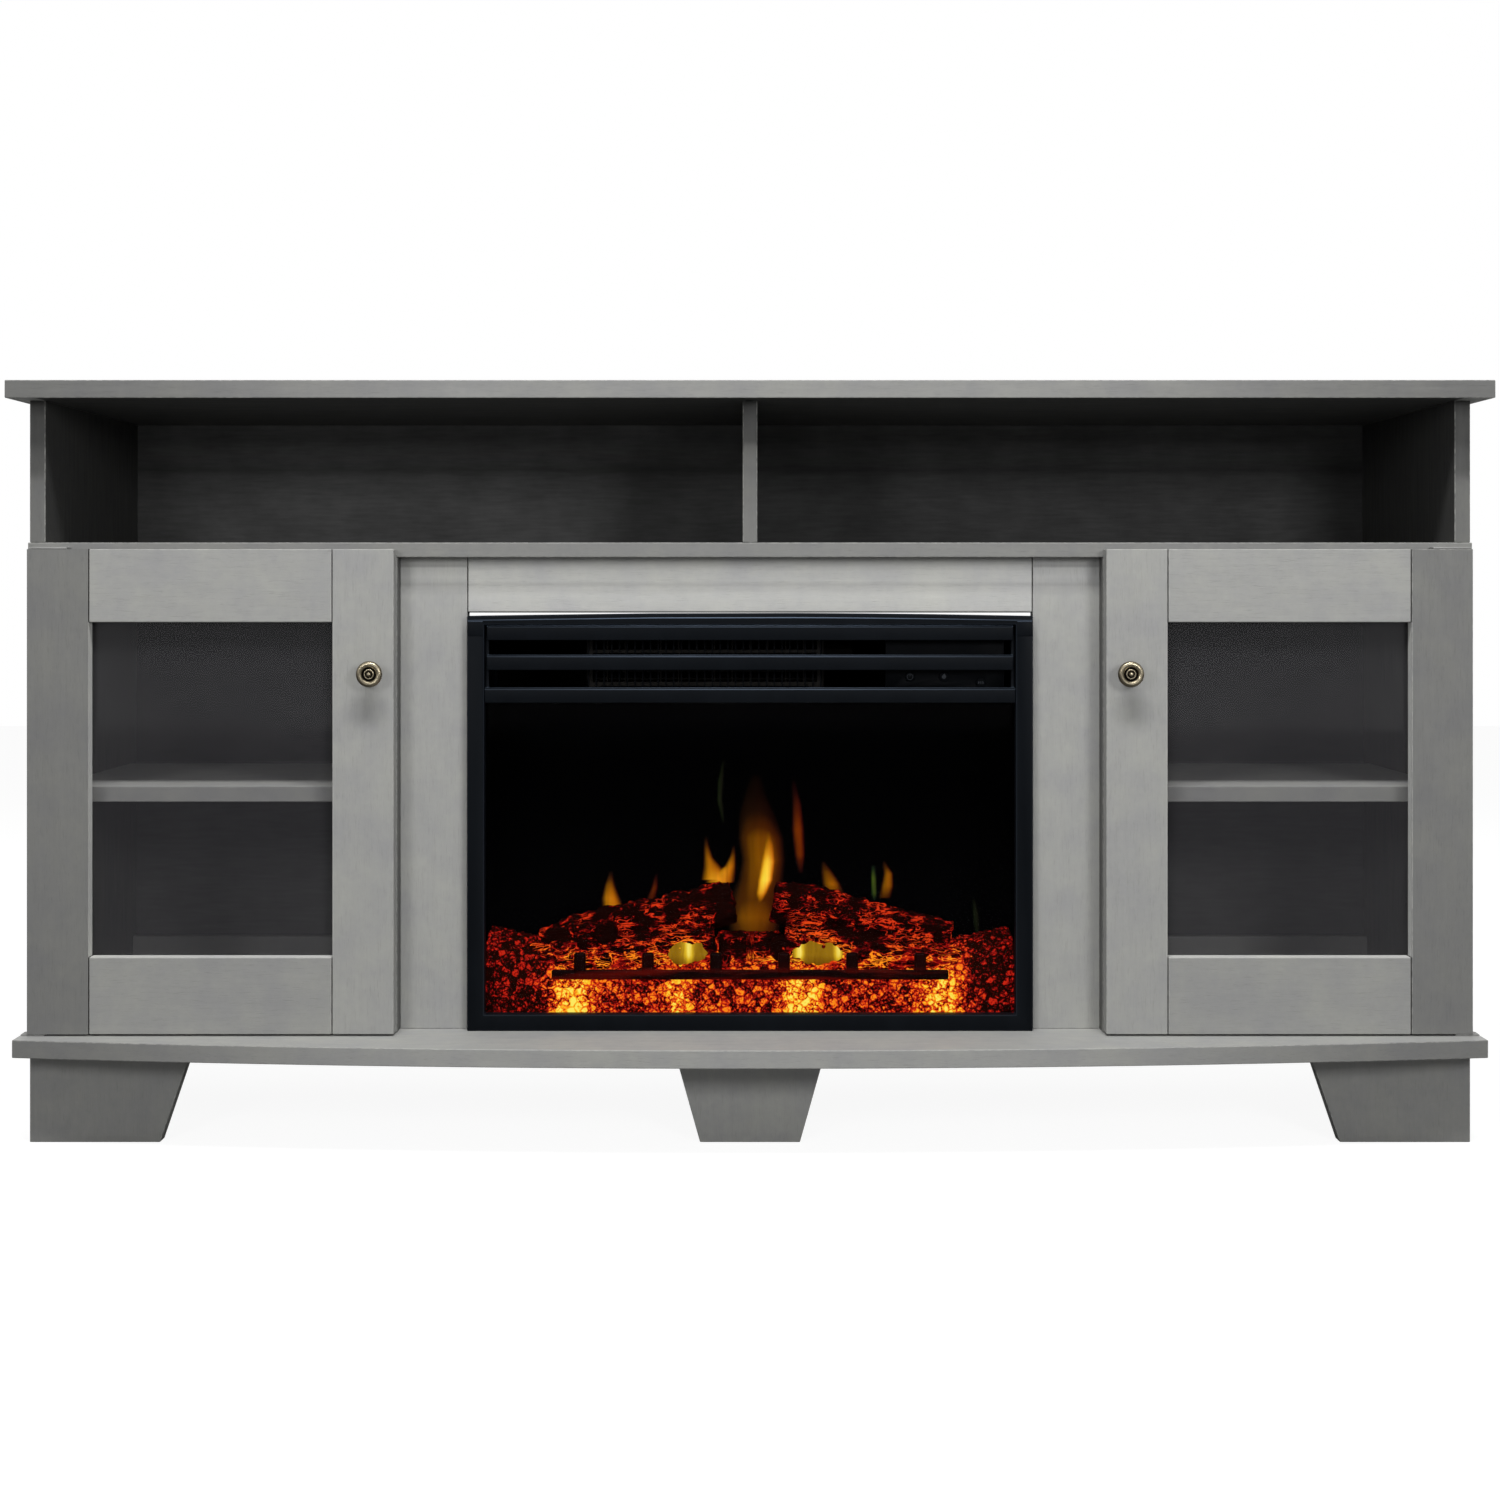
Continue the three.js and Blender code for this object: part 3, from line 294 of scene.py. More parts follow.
    def marked(self, name: str, output: str = "Fac") -> Socket:
        """What is marked on the mesh under a name."""
        return self.add("Attribute", attribute_name=name).outputs[output]

    def relief(self, height: Socket, depth: float, strength: float) -> Socket:
        """Normals that rise and fall by a depth in metres with a height from 0 to 1."""
        return self.add("Bump", {"Height": height, "Distance": depth, "Strength": strength}).outputs[0]

    def surface(self, **inputs: object) -> Material:
        """Closes the tree with a surface shader.

        Args:
            **inputs: the shader's inputs, by name with _ for a space.

        Returns:
            The material.
        """
        named = {key.replace("_", " "): value for key, value in inputs.items()}
        named = {key: rgba(v) if isinstance(v, tuple) and len(v) == 3 else v for key, v in named.items()}
        shader = self.add("BsdfPrincipled", named)
        self.add("OutputMaterial", {"Surface": shader.outputs[0]})
        return self.owner

    def glow(self, crust: Colour, light: Socket, roughness: float, **inputs: object) -> Material:
        """Closes the tree with a surface that gives light of its own.

        Args:
            crust: its colour by day.
            light: the colour of its light.
            roughness: how rough it is.
            **inputs: other inputs of the shader.

        Returns:
            The material.
        """
        plain = {"Specular_IOR_Level": 0.0, **inputs}
        return self.surface(
            Base_Color=crust, Roughness=roughness, Emission_Color=light, Emission_Strength=1.0, **plain)


@dataclass(frozen=True)
class PaintedWood:
    """Satin grey paint over open grain. Each face's tone, with painted light and shade in it, and each edge's
    wear are marked on the mesh.
    """

    grain: Grain
    colour: Colour = srgb(172, 172, 167)
    cool: Colour = srgb(171, 171, 170)
    cool_share: float = 0.94
    warm_share: float = 1.05
    worn_share: float = 1.25
    streak_tint: Colour = (0.965, 0.965, 0.965)
    pore_tint: Colour = (0.74, 0.74, 0.73)
    mottle_tint: Colour = (0.93, 0.935, 0.945)
    pore_width: float = 0.0009
    pore_length: float = 0.013
    streaks_to_pores: float = 5
    pores: Texture = Texture(1, 3, 0.6, (0.56, 0.74))
    streaks: Texture = Texture(1, 2)
    patches: Texture = Texture(1 / 0.045, 4, 0.6, (0.32, 0.68))
    mottle: Texture = Texture(1 / 0.011, 5, 0.7)
    rub: Texture = Texture(160, span=(0.4, 0.62))
    pore_share: float = 0.5
    rub_share: float = 0.3
    roughness: Span = (0.62, 0.5)
    gloss: float = 0.3
    streak_height: float = 0.4
    relief: Span = (0.00012, 0.6)

    def material(self) -> Material:
        """Makes the paint's material."""
        graph = Graph(f"painted_wood_{self.grain.name.lower()}")
        fine = tuple(1 / (self.pore_length if along else self.pore_width) for along in self.grain.value)
        pores = graph.spread(replace(self.pores, stretch=fine))
        streaks = graph.spread(replace(self.streaks, stretch=shaded(fine, 1 / self.streaks_to_pores)))
        cool, warm = shaded(self.cool, self.cool_share), shaded(self.colour, self.warm_share)
        colour = graph.blend(graph.spread(self.patches), cool, warm)
        colour = graph.blend(streaks, graph.tinted(colour, self.streak_tint), colour)
        dark = graph.tinted(colour, self.pore_tint)
        colour = graph.blend(graph.times(pores, self.pore_share), colour, dark)
        colour = graph.blend(graph.spread(self.mottle), graph.tinted(colour, self.mottle_tint), colour)
        # The marked tone holds the boards' own tones together with painted light and shade
        colour = graph.tinted(colour, graph.marked("tone"))
        rub = graph.times(graph.spread(self.rub), graph.times(graph.marked("edge"), self.rub_share))
        height = graph.maths("SUBTRACT", graph.times(streaks, self.streak_height), pores)
        return graph.surface(
            Base_Color=graph.blend(rub, colour, shaded(self.colour, self.worn_share)),
            Roughness=graph.level(streaks, out=self.roughness), Specular_IOR_Level=self.gloss,
            Normal=graph.relief(height, *self.relief))


@dataclass(frozen=True)
class BayBoard:
    """The dark finish inside the bays, a little mottled along its grain."""

    colour: Colour = srgb(60, 60, 60)
    dark_share: float = 0.8
    light_share: float = 1.15
    streak_tint: Colour = (0.8, 0.8, 0.8)
    streaks: Texture = Texture(1, 4, 0.6, stretch=(30, 300, 300))
    patches: Texture = Texture(16, 4)
    roughness: Span = (0.8, 0.65)
    gloss: float = 0.1
    relief: Span = (0.0001, 0.2)

    def material(self) -> Material:
        """Makes the finish's material."""
        graph = Graph("bay_board")
        streaks = graph.spread(self.streaks)
        dark, light = (shaded(self.colour, share) for share in (self.dark_share, self.light_share))
        colour = graph.blend(graph.spread(self.patches), dark, light)
        colour = graph.blend(streaks, graph.tinted(colour, self.streak_tint), colour)
        # The marked tone carries painted light and shade on the back panel
        return graph.surface(
            Base_Color=graph.tinted(colour, graph.marked("tone")),
            Roughness=graph.level(streaks, out=self.roughness), Specular_IOR_Level=self.gloss,
            Normal=graph.relief(streaks, *self.relief))


@dataclass(frozen=True)
class TintedGlass:
    """A pane of flat glass with a faint film of dust."""

    name: str
    colour: Colour
    cover: float
    film: Texture = Texture(9, 4, span=(0.4, 0.8))
    roughness: Span = (0.03, 0.09)
    gloss: float = 0.5

    def material(self) -> Material:
        """Makes the pane's material."""
        graph = Graph(self.name)
        rough = graph.level(graph.spread(self.film), out=self.roughness)
        return graph.surface(
            Base_Color=self.colour, Roughness=rough, Specular_IOR_Level=self.gloss, Alpha=self.cover)


@dataclass(frozen=True)
class AntiqueBrass:
    """Rubbed brass with dark patina left in its hollows, and painted shade where the mesh marks it."""

    colour: Colour = srgb(158, 148, 126)
    patina: Colour = srgb(30, 27, 24)
    clouds: Texture = Texture(420, 4, 0.6, (0.38, 0.66))
    cloud_share: float = 0.42
    turning: Texture = Texture(90, 2, stretch=(1, 60, 1))
    roughness: Span = (0.22, 0.45)
    relief: Span = (0.00004, 0.5)

    def material(self) -> Material:
        """Makes the brass."""
        graph = Graph("antique_brass")
        clouds = graph.times(graph.spread(self.clouds), self.cloud_share)
        # The marked hollow holds the patina in the grooves and a painted shade on one side of the knob
        wear = graph.maths("MAXIMUM", graph.marked("hollow"), clouds)
        return graph.surface(
            Base_Color=graph.blend(wear, self.colour, self.patina), Metallic=1.0,
            Roughness=graph.level(wear, out=self.roughness),
            Normal=graph.relief(graph.pattern(self.turning), *self.relief))


@dataclass(frozen=True)
class PlatedSteel:
    """Zinc plated or tinned sheet with faint rolling lines."""

    name: str
    colour: Colour
    roughness: float
    metallic: float = 1.0
    rolling: Texture = Texture(stretch=(40, 900, 900))
    clouds: Texture = Texture(60, 4)
    dull_share: float = 0.8
    roughness_gain: float = 0.12
    relief: Span = (0.00003, 0.4)

    def material(self) -> Material:
        """Makes the plate."""
        graph = Graph(self.name)
        rolled = graph.pattern(self.rolling)
        rough = (self.roughness, self.roughness + self.roughness_gain)
        dull = shaded(self.colour, self.dull_share)
        return graph.surface(
            Base_Color=graph.blend(graph.spread(self.clouds), dull, self.colour), Metallic=self.metallic,
            Roughness=graph.level(rolled, self.rolling.span, rough),
            Normal=graph.relief(rolled, *self.relief))


@dataclass(frozen=True)
class BlackCoat:
    """Black powder coat or moulded black plastic, with a fine orange peel and dust on it, and a painted
    highlight on its rounded edges.
    """

    name: str
    colour: Colour
    grain: float
    roughness: float
    gloss: float
    painted_edge_highlight: float = 2.5
    fade: Span | None = None
    fade_rest: float = 0.3
    dust: Texture = Texture(1, 5, 0.6, (0.45, 0.75), stretch=(30, 30, 8))
    dust_share: float = 0.35
    dust_light: float = 1.7
    roughness_gain: float = 0.15
    peel_share: float = 1 / 20
    peel_strength: float = 0.5

    def material(self) -> Material:
        """Makes the coat."""
        graph = Graph(self.name)
        peel = graph.pattern(Texture(1 / self.grain, 2))
        dust = graph.spread(self.dust)
        dusty = shaded(self.colour, self.dust_light)
        colour = graph.blend(graph.times(dust, self.dust_share), self.colour, dusty)
        # Painted highlight on the marked rounded edges, fading away from the middle where fade is given
        edge = graph.marked("edge")
        if self.fade:
            off = graph.maths("ABSOLUTE", graph.across())
            edge = graph.times(edge, graph.level(off, self.fade, (1, self.fade_rest)))
        return graph.surface(
            Base_Color=graph.blend(edge, colour, shaded(self.colour, self.painted_edge_highlight)),
            Roughness=graph.level(dust, out=(self.roughness, self.roughness + self.roughness_gain)),
            Specular_IOR_Level=self.gloss,
            Normal=graph.relief(peel, self.grain * self.peel_share, self.peel_strength))


FLAME_STOPS: Stops = (
    (0.0, (0.0, 0.0, 0.0)), (0.15, (0.010, 0.003, 0.001)), (0.30, (0.055, 0.013, 0.001)),
    (0.45, (0.20, 0.062, 0.001)), (0.60, (0.46, 0.145, 0.003)), (0.75, (0.74, 0.29, 0.010)),
    (0.90, (0.97, 0.55, 0.035)), (1.0, (1.0, 0.71, 0.06)),
)
FIRE_STOPS: Stops = (
    (0.28, (0.001, 0, 0)), (0.38, (0.030, 0.0003, 0.0008)), (0.50, (0.22, 0.0020, 0.003)),
    (0.61, (0.56, 0.016, 0.005)), (0.72, (0.90, 0.095, 0.007)), (0.82, (1.0, 0.34, 0.010)),
    (0.92, (1.0, 0.62, 0.025)), (1.0, (1.0, 0.84, 0.12)),
)
HOLLOW_STOPS: Stops = (
    (0.0, (0.010, 0.0006, 0)), (0.22, (0.10, 0.028, 0.001)), (0.5, (0.32, 0.17, 0.006)),
    (0.75, (0.74, 0.47, 0.02)), (1.0, (1.0, 0.86, 0.18)),
)
# The sizes of the coals, of the crumbs on them and of the checks in the bark
COAL = 0.0076
CRUMB = 0.0019
CHECK = 0.0085


@dataclass(frozen=True)
class LitCoals:
    """Lit resin in the shape of coals: bright cells with dark gaps, more of them where it is warmer."""

    crust: Colour = (0.010, 0.002, 0.001)
    roughness: float = 0.8
    bend: Span = (1.6 / COAL, 0.7 * COAL)
    gaps: Texture = Texture(1 / COAL, span=(0.02, 0.17), out=(0.26, 0), kind=Pattern.CRACKS)
    chips: Texture = Texture(2.1 / COAL, span=(0.0, 0.12), out=(0.22, 0), kind=Pattern.CRACKS)
    broken: Texture = Texture(0.6 / COAL, 2, span=(0.42, 0.58))
    crumbs: Texture = Texture(0.8 / CRUMB, 2, 0.55, (0.25, 0.75), (-0.30, 0.30))
    chance_light: float = 0.50
    warm_light: Span = (0.12, 0.82)
    top_light: Span = (0.56, 1.08)
    relief: Span = (CRUMB, 0.5)

    def material(self) -> Material:
        """Makes the lit resin."""
        graph = Graph("lit_coals")
        where = graph.warped(graph.place(), *self.bend)
        cells = graph.add("TexVoronoi", {"Vector": where, "Scale": self.gaps.scale})
        chance = graph.add("SeparateColor", {0: cells.outputs["Color"]}).outputs[0]
        chips = graph.times(graph.spread(self.chips, where), graph.spread(self.broken))
        crumbs = graph.spread(self.crumbs)
        warmth = graph.marked("warmth")
        lit = graph.plus(
            graph.level(warmth, out=self.warm_light), graph.times(chance, self.chance_light), crumbs)
        lit = graph.maths("MINIMUM", lit, graph.level(warmth, out=self.top_light))
        lit = graph.maths("SUBTRACT", lit, graph.plus(graph.spread(self.gaps, where), chips))
        relief = graph.relief(crumbs, *self.relief)
        return graph.glow(self.crust, graph.ramp(lit, FIRE_STOPS), self.roughness, Normal=relief)


@dataclass(frozen=True)
class CharredBark:
    """Charred bark with fire in its checks, which branch and run along each log."""

    crust: Colour = (0.006, 0.0012, 0.0008)
    roughness: float = 0.8
    stretch: Place = (0.42, 1, 1.25)
    tilt: float = math.radians(14)
    middle: Span = (-0.004, 0.004)
    wide: Texture = Texture(0.8 / CHECK, 2, 0.5, (0, 0.045), (1, 0), warp=0.9)
    fine: Texture = Texture(1.5 / CHECK, 2, 0.5, (0, 0.050), (0.72, 0), warp=0.9)
    zones: Texture = Texture(0.32 / CHECK, span=(0.38, 0.60))
    zone_light: Span = (0.08, 0.90)
    clouds: Texture = Texture(1.1 / CHECK, 3, 0.6, out=(-0.30, 0.22))
    warm_light: Span = (-0.10, 0.56)
    top_light: Span = (0.52, 0.92)
    relief: Span = (0.4 * CHECK, 0.6)

    def material(self) -> Material:
        """Makes the bark."""
        graph = Graph("charred_bark")
        left, right = (graph.place(self.stretch, (0, turn, 0)) for turn in (self.tilt, -self.tilt))
        side = graph.level(graph.across(), self.middle)
        along = graph.add("Mix", {0: side, 4: left, 5: right}, data_type="VECTOR").outputs[1]
        checks = graph.maths(
            "MAXIMUM", self.checks(graph, along, self.wide), self.checks(graph, along, self.fine))
        checks = graph.times(checks, graph.level(graph.spread(self.zones), out=self.zone_light))
        clouds = graph.spread(self.clouds, along)
        warmth = graph.marked("warmth")
        lit = graph.plus(graph.level(warmth, out=self.warm_light), checks, clouds)
        lit = graph.maths("MINIMUM", lit, graph.level(warmth, out=self.top_light))
        relief = graph.relief(clouds, *self.relief)
        return graph.glow(self.crust, graph.ramp(lit, FIRE_STOPS), self.roughness, Normal=relief)

    def checks(self, graph: Graph, where: Socket, lines: Texture) -> Socket:
        """Thin branching lines along the level curves of a cloudy pattern.

        Args:
            graph: the material's tree.
            where: where the pattern is read.
            lines: the pattern, with the lines' width and light.

        Returns:
            The lines' light, none beside them.
        """
        away = graph.maths("SUBTRACT", graph.pattern(lines, where), CLOUD_MIDDLE)
        return graph.level(graph.maths("ABSOLUTE", away), lines.span, lines.out)


@dataclass(frozen=True)
class IronWithPaintedGlow:
    """Black cast iron with the coals' red light painted on it as a glow."""

    iron: Colour = (0.0025, 0.0006, 0.0005)
    cold: Colour = (0.002, 0, 0)
    hot: Colour = (0.085, 0.0022, 0.0008)
    roughness: float = 0.5
    gloss: float = 0.02
    streaks: Texture = Texture(span=(0.42, 0.7), stretch=(12, 60, 120))

    def material(self) -> Material:
        """Makes the iron."""
        graph = Graph("iron_with_painted_glow")
        # The coals' red light, painted as glow where the mesh marks warmth
        share = graph.times(graph.spread(self.streaks), graph.marked("warmth"))
        light = graph.blend(share, self.cold, self.hot)
        return graph.glow(self.iron, light, self.roughness, Specular_IOR_Level=self.gloss)


@dataclass(frozen=True)
class FlameScreen:
    """The smoked screen behind the logs, with the flames' light marked on its mesh."""

    ground: Colour = (0.0006, 0.0006, 0.0008)
    roughness: float = 0.5
    veil: Texture = Texture(1, 4, 0.6, (0.28, 0.62), (0.8, 1.12), (150, 1, 16), 0.6)

    def material(self) -> Material:
        """Makes the screen."""
        graph = Graph("flame_screen")
        light = graph.tinted(graph.marked("flame_light", "Color"), graph.spread(self.veil))
        return graph.glow(self.ground, light, self.roughness)


@dataclass(frozen=True)
class LitHollow:
    """A hollow with fire behind it: yellow in its middle, orange at its rim."""

    ground: Colour = (0.01, 0.005, 0.001)
    roughness: float = 0.6
    veil: Texture = Texture(1, 3, 0.6, (0.25, 0.7), (0.75, 1), (200, 1, 30), 0.4)

    def material(self) -> Material:
        """Makes the lit hollow."""
        graph = Graph("lit_hollow")
        warmth = graph.times(graph.spread(self.veil), graph.marked("warmth"))
        return graph.glow(self.ground, graph.ramp(warmth, HOLLOW_STOPS), self.roughness)


@dataclass(frozen=True)
class CircuitBoard:
    """Green solder mask with copper lines under it."""

    mask: Colour = srgb(20, 78, 44)
    line_light: float = 1.6
    lines: Texture = Texture(220, span=(0.02, 0.06), stretch=(1, 2, 1), kind=Pattern.CRACKS)
    roughness: float = 0.4
    relief: Span = (0.00003, 1)

    def material(self) -> Material:
        """Makes the board."""
        graph = Graph("circuit_board")
        lines = graph.spread(self.lines)
        colour = graph.blend(lines, shaded(self.mask, self.line_light), self.mask)
        relief = graph.relief(lines, *self.relief)
        return graph.surface(Base_Color=colour, Roughness=self.roughness, Normal=relief)


@dataclass(frozen=True)
class Finish:
    """What a piece is made of, with the record's name for it."""

    material: Material
    slot: str


# The workbench: selecting, copying and shaping


def pick(*pieces: Piece) -> None:
    """Selects these pieces and nothing else, and makes the first one active."""
    bpy.ops.object.select_all(action="DESELECT")
    for piece in pieces:
        piece.select_set(True)
    bpy.context.view_layer.objects.active = pieces[0]


@contextmanager
def editing(piece: Piece) -> Iterator[None]:
    """Holds a piece in edit mode, with all of it selected at first.

    Args:
        piece: the piece.
    """
    pick(piece)
    bpy.ops.object.mode_set(mode="EDIT")
    bpy.ops.mesh.select_mode(type="FACE")
    bpy.ops.mesh.select_all(action="SELECT")
    yield
    bpy.ops.object.mode_set(mode="OBJECT")


def choose(piece: Piece, rule: FaceRule) -> None:
    """Selects the faces of a piece in edit mode that a rule picks.

    Args:
        piece: the piece in edit mode.
        rule: takes a face's centre and normal.
    """
    mesh = bmesh.from_edit_mesh(piece.data)
    bpy.ops.mesh.select_all(action="DESELECT")
    for face in [f for f in mesh.faces if rule(f.calc_center_median(), f.normal)]:
        face.select = True
    mesh.select_flush(True)
    bmesh.update_edit_mesh(piece.data)


def apply(piece: Piece, kind: str, **settings: object) -> None:
    """Adds a modifier, sets it and applies it.

    Args:
        piece: the piece.
        kind: the modifier's type.
        **settings: the modifier's properties.
    """
    pick(piece)
    modifier = piece.modifiers.new(kind.title(), kind)
    for key, value in settings.items():
        setattr(modifier, key, value)
    bpy.ops.object.modifier_apply(modifier=modifier.name)


def started(name: str) -> Piece:
    """Names the piece that was just made.

    Args:
        name: its name.

    Returns:
        The piece.
    """
    piece = bpy.context.active_object
    piece.name = name
    return piece


def added(name: str, operator: Callable, stretch: Place = EVEN, **settings: object) -> Piece:
    """Adds a primitive and puts its place and size into its mesh.

    Args:
        name: the piece's name.
        operator: the one that adds it.
        stretch: how far it is stretched along its own X, Y and Z.
        **settings: what the operator takes.

    Returns:
        The piece.
    """
    bpy.ops.object.select_all(action="DESELECT")
    operator(**settings)
    piece = started(name)
    pick(piece)
    piece.scale = stretch
    bpy.ops.object.transform_apply(location=True, rotation=True, scale=True)
    return piece


def copy_of(node: str, name: str) -> Piece:
    """Copies a solid of the frame into a piece with merged faces.

    Args:
        node: the solid's node.
        name: the piece's name.

    Returns:
        The piece, at the solid's place.
    """
    pick(frame["nodes"][node])
    bpy.ops.object.duplicate()
    piece = started(name)
    bpy.ops.object.parent_clear(type="CLEAR_KEEP_TRANSFORM")
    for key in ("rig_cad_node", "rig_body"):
        del piece[key]
    piece.data.name = name
    piece.data.materials.clear()
    with editing(piece):
        bpy.ops.mesh.customdata_custom_splitnormals_clear()
        bpy.ops.mesh.remove_doubles(threshold=SAME_POINT)
        bpy.ops.mesh.dissolve_limited(angle_limit=SAME_FACE)
    return piece


def ease(piece: Piece, width: float, segments: int = 2, rule: ToneRule | None = None) -> None:
    """Rounds a piece's edges and marks the rounded strips.

    Args:
        piece: the piece.
        width: how far from each edge the rounding starts.
        segments: how many facets it has.
        rule: how strongly a strip is marked, by its centre and normal; fully, if there is none.
    """
    piece.data.materials.clear()
    for _ in range(2):
        piece.data.materials.append(None)
    apply(piece, "BEVEL", width=width, segments=segments, limit_method="ANGLE",
          angle_limit=math.radians(EDGE_ANGLE), material=1)
    mark_faces(piece, "edge", [
        float(face.material_index) and (rule(face.center, face.normal) if rule else 1.0)
        for face in piece.data.polygons])
    for face in piece.data.polygons:
        face.material_index = 0
    piece.data.materials.clear()


def cut(piece: Piece, axis: int, places: Sequence[float]) -> None:
    """Divides a piece's faces at some places along an axis.

    Args:
        piece: the piece.
        axis: the axis.
        places: where the faces are divided.
    """
    normal = Vector((0, 0, 0))
    normal[axis] = 1
    for place in places:
        with editing(piece):
            bpy.ops.mesh.bisect(plane_co=normal * place, plane_no=normal)


def close(sheet: Piece, step: Place, foot: Place | None = None) -> None:
    """Closes a sheet with sides that start at its rim, and with a back.

    Args:
        sheet: the open sheet.
        step: how far the sides reach.
        foot: a point at the height where the sides end, where they aren't all equally high.
    """
    with editing(sheet):
        bpy.ops.mesh.select_mode(type="EDGE")
        bpy.ops.mesh.select_all(action="DESELECT")
        bpy.ops.mesh.select_non_manifold()
        bpy.ops.mesh.extrude_region_move(TRANSFORM_OT_translate={"value": step})
        if foot:
            bpy.ops.transform.resize(value=(1, 1, 0), center_override=foot)
        bpy.ops.mesh.edge_face_add()
        bpy.ops.mesh.select_all(action="SELECT")
        bpy.ops.mesh.normals_make_consistent(inside=False)


def step_between(value: float, low: float, high: float) -> float:
    """Rises smoothly from 0 at the low value to 1 at the high one."""
    share = min(1.0, max(0.0, (value - low) / (high - low)))
    return share * share * (3 - 2 * share)


def along_knots(knots: Knots, value: float) -> float:
    """Interpolates in a table, and keeps its end amounts outside it.

    Args:
        knots: places with the amount at each, in rising order.
        value: the place to look up.

    Returns:
        The amount there.
    """
    if value <= knots[0][0]:
        return knots[0][1]
    for (low, start), (high, end) in zip(knots, knots[1:]):
        if value <= high:
            return start + (end - start) * (value - low) / (high - low)
    return knots[-1][1]


def mark_faces(piece: Piece, name: str, values: Sequence[float]) -> None:
    """Marks a value on each face under a name."""
    attribute = piece.data.attributes.new(name, "FLOAT", "FACE")
    attribute.data.foreach_set("value", values)


def mark_points(piece: Piece, name: str, rule: PointRule) -> None:
    """Marks on each point of a mesh, under a name, what a rule says of its place."""
    attribute = piece.data.attributes.new(name, "FLOAT", "POINT")
    attribute.data.foreach_set("value", [rule(vertex.co) for vertex in piece.data.vertices])


def tone(piece: Piece, rule: ToneRule, fade: ToneRule | None = None) -> None:
    """Marks how light the paint is at each corner of each face, with painted light and shade.

    Args:
        piece: the piece.
        rule: takes a face's centre and normal.
        fade: takes a corner's place and the face's normal, and makes that corner darker or lighter by a share:
            painted shade and painted light.
    """
    mesh = piece.data
    attribute = mesh.attributes.new("tone", "FLOAT", "CORNER")
    for face in mesh.polygons:
        plain = rule(face.center, face.normal)
        for loop in face.loop_indices:
            corner = mesh.vertices[mesh.loops[loop].vertex_index].co
            attribute.data[loop].value = plain * (fade(corner, face.normal) if fade else 1)


def smooth(piece: Piece, angle: float = EDGE_ANGLE) -> None:
    """Shades a piece smooth where its faces meet at less than an angle in degrees."""
    pick(piece)
    bpy.ops.object.shade_smooth_by_angle(angle=math.radians(angle))


def turned(name: str, profile: Sequence[Span], size: Span, centre: Place, steps: int = 40) -> Piece:
    """Turns a profile about a line along Y, reaching towards the viewer.

    Args:
        name: the piece's name.
        profile: radius and reach of each point, as shares, from the back to the tip.
        size: the radius and the reach that the shares are of.
        centre: where the line starts.
        steps: how many steps the turn has.

    Returns:
        The closed piece.
    """
    points = [
        Vector((centre[X] + radius * size[0], centre[Y] - reach * size[1], centre[Z]))
        for radius, reach in profile]
    piece = added(
        name, bpy.ops.mesh.primitive_plane_add, size=profile[1][0] * size[0], location=points[0])
    with editing(piece):
        bpy.ops.mesh.merge(type="CENTER")
        bpy.ops.mesh.select_mode(type="VERT")
        bpy.ops.mesh.select_all(action="SELECT")
        for here, there in zip(points, points[1:]):
            bpy.ops.mesh.extrude_vertices_move(TRANSFORM_OT_translate={"value": there - here})
        bpy.ops.mesh.select_all(action="SELECT")
        bpy.ops.mesh.spin(steps=steps, angle=2 * math.pi, center=centre, axis=(0, 1, 0))
        bpy.ops.mesh.select_all(action="SELECT")
        bpy.ops.mesh.remove_doubles(threshold=SAME_TURNED_POINT)
        bpy.ops.mesh.normals_make_consistent(inside=False)
    return piece


def block(name: str, low: Place, high: Place, rounding: float, segments: int = 2) -> Piece:
    """A block between two corners with rounded edges.

    Args:
        name: the piece's name.
        low: its lowest corner.
        high: its highest corner.
        rounding: how far from each edge the rounding starts.
        segments: how many facets it has.

    Returns:
        The piece.
    """
    low, high = Vector(low), Vector(high)
    piece = added(
        name, bpy.ops.mesh.primitive_cube_add, high - low, size=1, location=(low + high) / 2)
    with editing(piece):
        bpy.ops.mesh.bevel(offset=rounding, segments=segments, affect="EDGES")
    return piece


def joined(name: str, pieces: Sequence[Piece]) -> Piece:
    """Joins pieces into one mesh.

    Args:
        name: the whole's name.
        pieces: its parts.

    Returns:
        The whole.
    """
    pick(*pieces)
    bpy.ops.object.join()
    return started(name)


@dataclass(frozen=True)
class Lumps:
    """A pattern that pushes a skin out and in: clouds, or cells where these have a strength."""

    size: float
    height: float
    depth: int = 3
    cells: float = 0

    def push(self, piece: Piece, middle: float = 0.5) -> None:
        """Pushes a piece's skin out and in.

        Args:
            piece: the piece.
            middle: the pattern's value that leaves the skin where it is.
        """
        texture = bpy.data.textures.new(f"{piece.name}_lumps", "VORONOI" if self.cells else "CLOUDS")
        texture.noise_scale = self.size
        if self.cells:
            texture.distance_metric = "DISTANCE"
            texture.noise_intensity = self.cells
        else:
            texture.noise_depth = self.depth
        apply(piece, "DISPLACE", texture=texture, texture_coords="GLOBAL", direction="NORMAL",
              mid_level=middle, strength=self.height)


def moulded(piece: Piece, cell: float, *lumps: Lumps, middle: float = 0.5) -> Piece:
    """Gives a piece an even fine skin, pushes that out and in, and shades it smooth.

    Args:
        piece: the piece.
        cell: the size of the skin's faces, or 0 to keep those that are there.
        *lumps: what pushes the skin, the coarsest first.
        middle: the patterns' value that leaves the skin where it is.

    Returns:
        The piece.
    """
    pick(piece)
    if cell:
        piece.data.remesh_voxel_size = cell
        bpy.ops.object.voxel_remesh()
    for lump in lumps:
        lump.push(piece, middle)
    smooth(piece, LUMPY_ANGLE)
    return piece


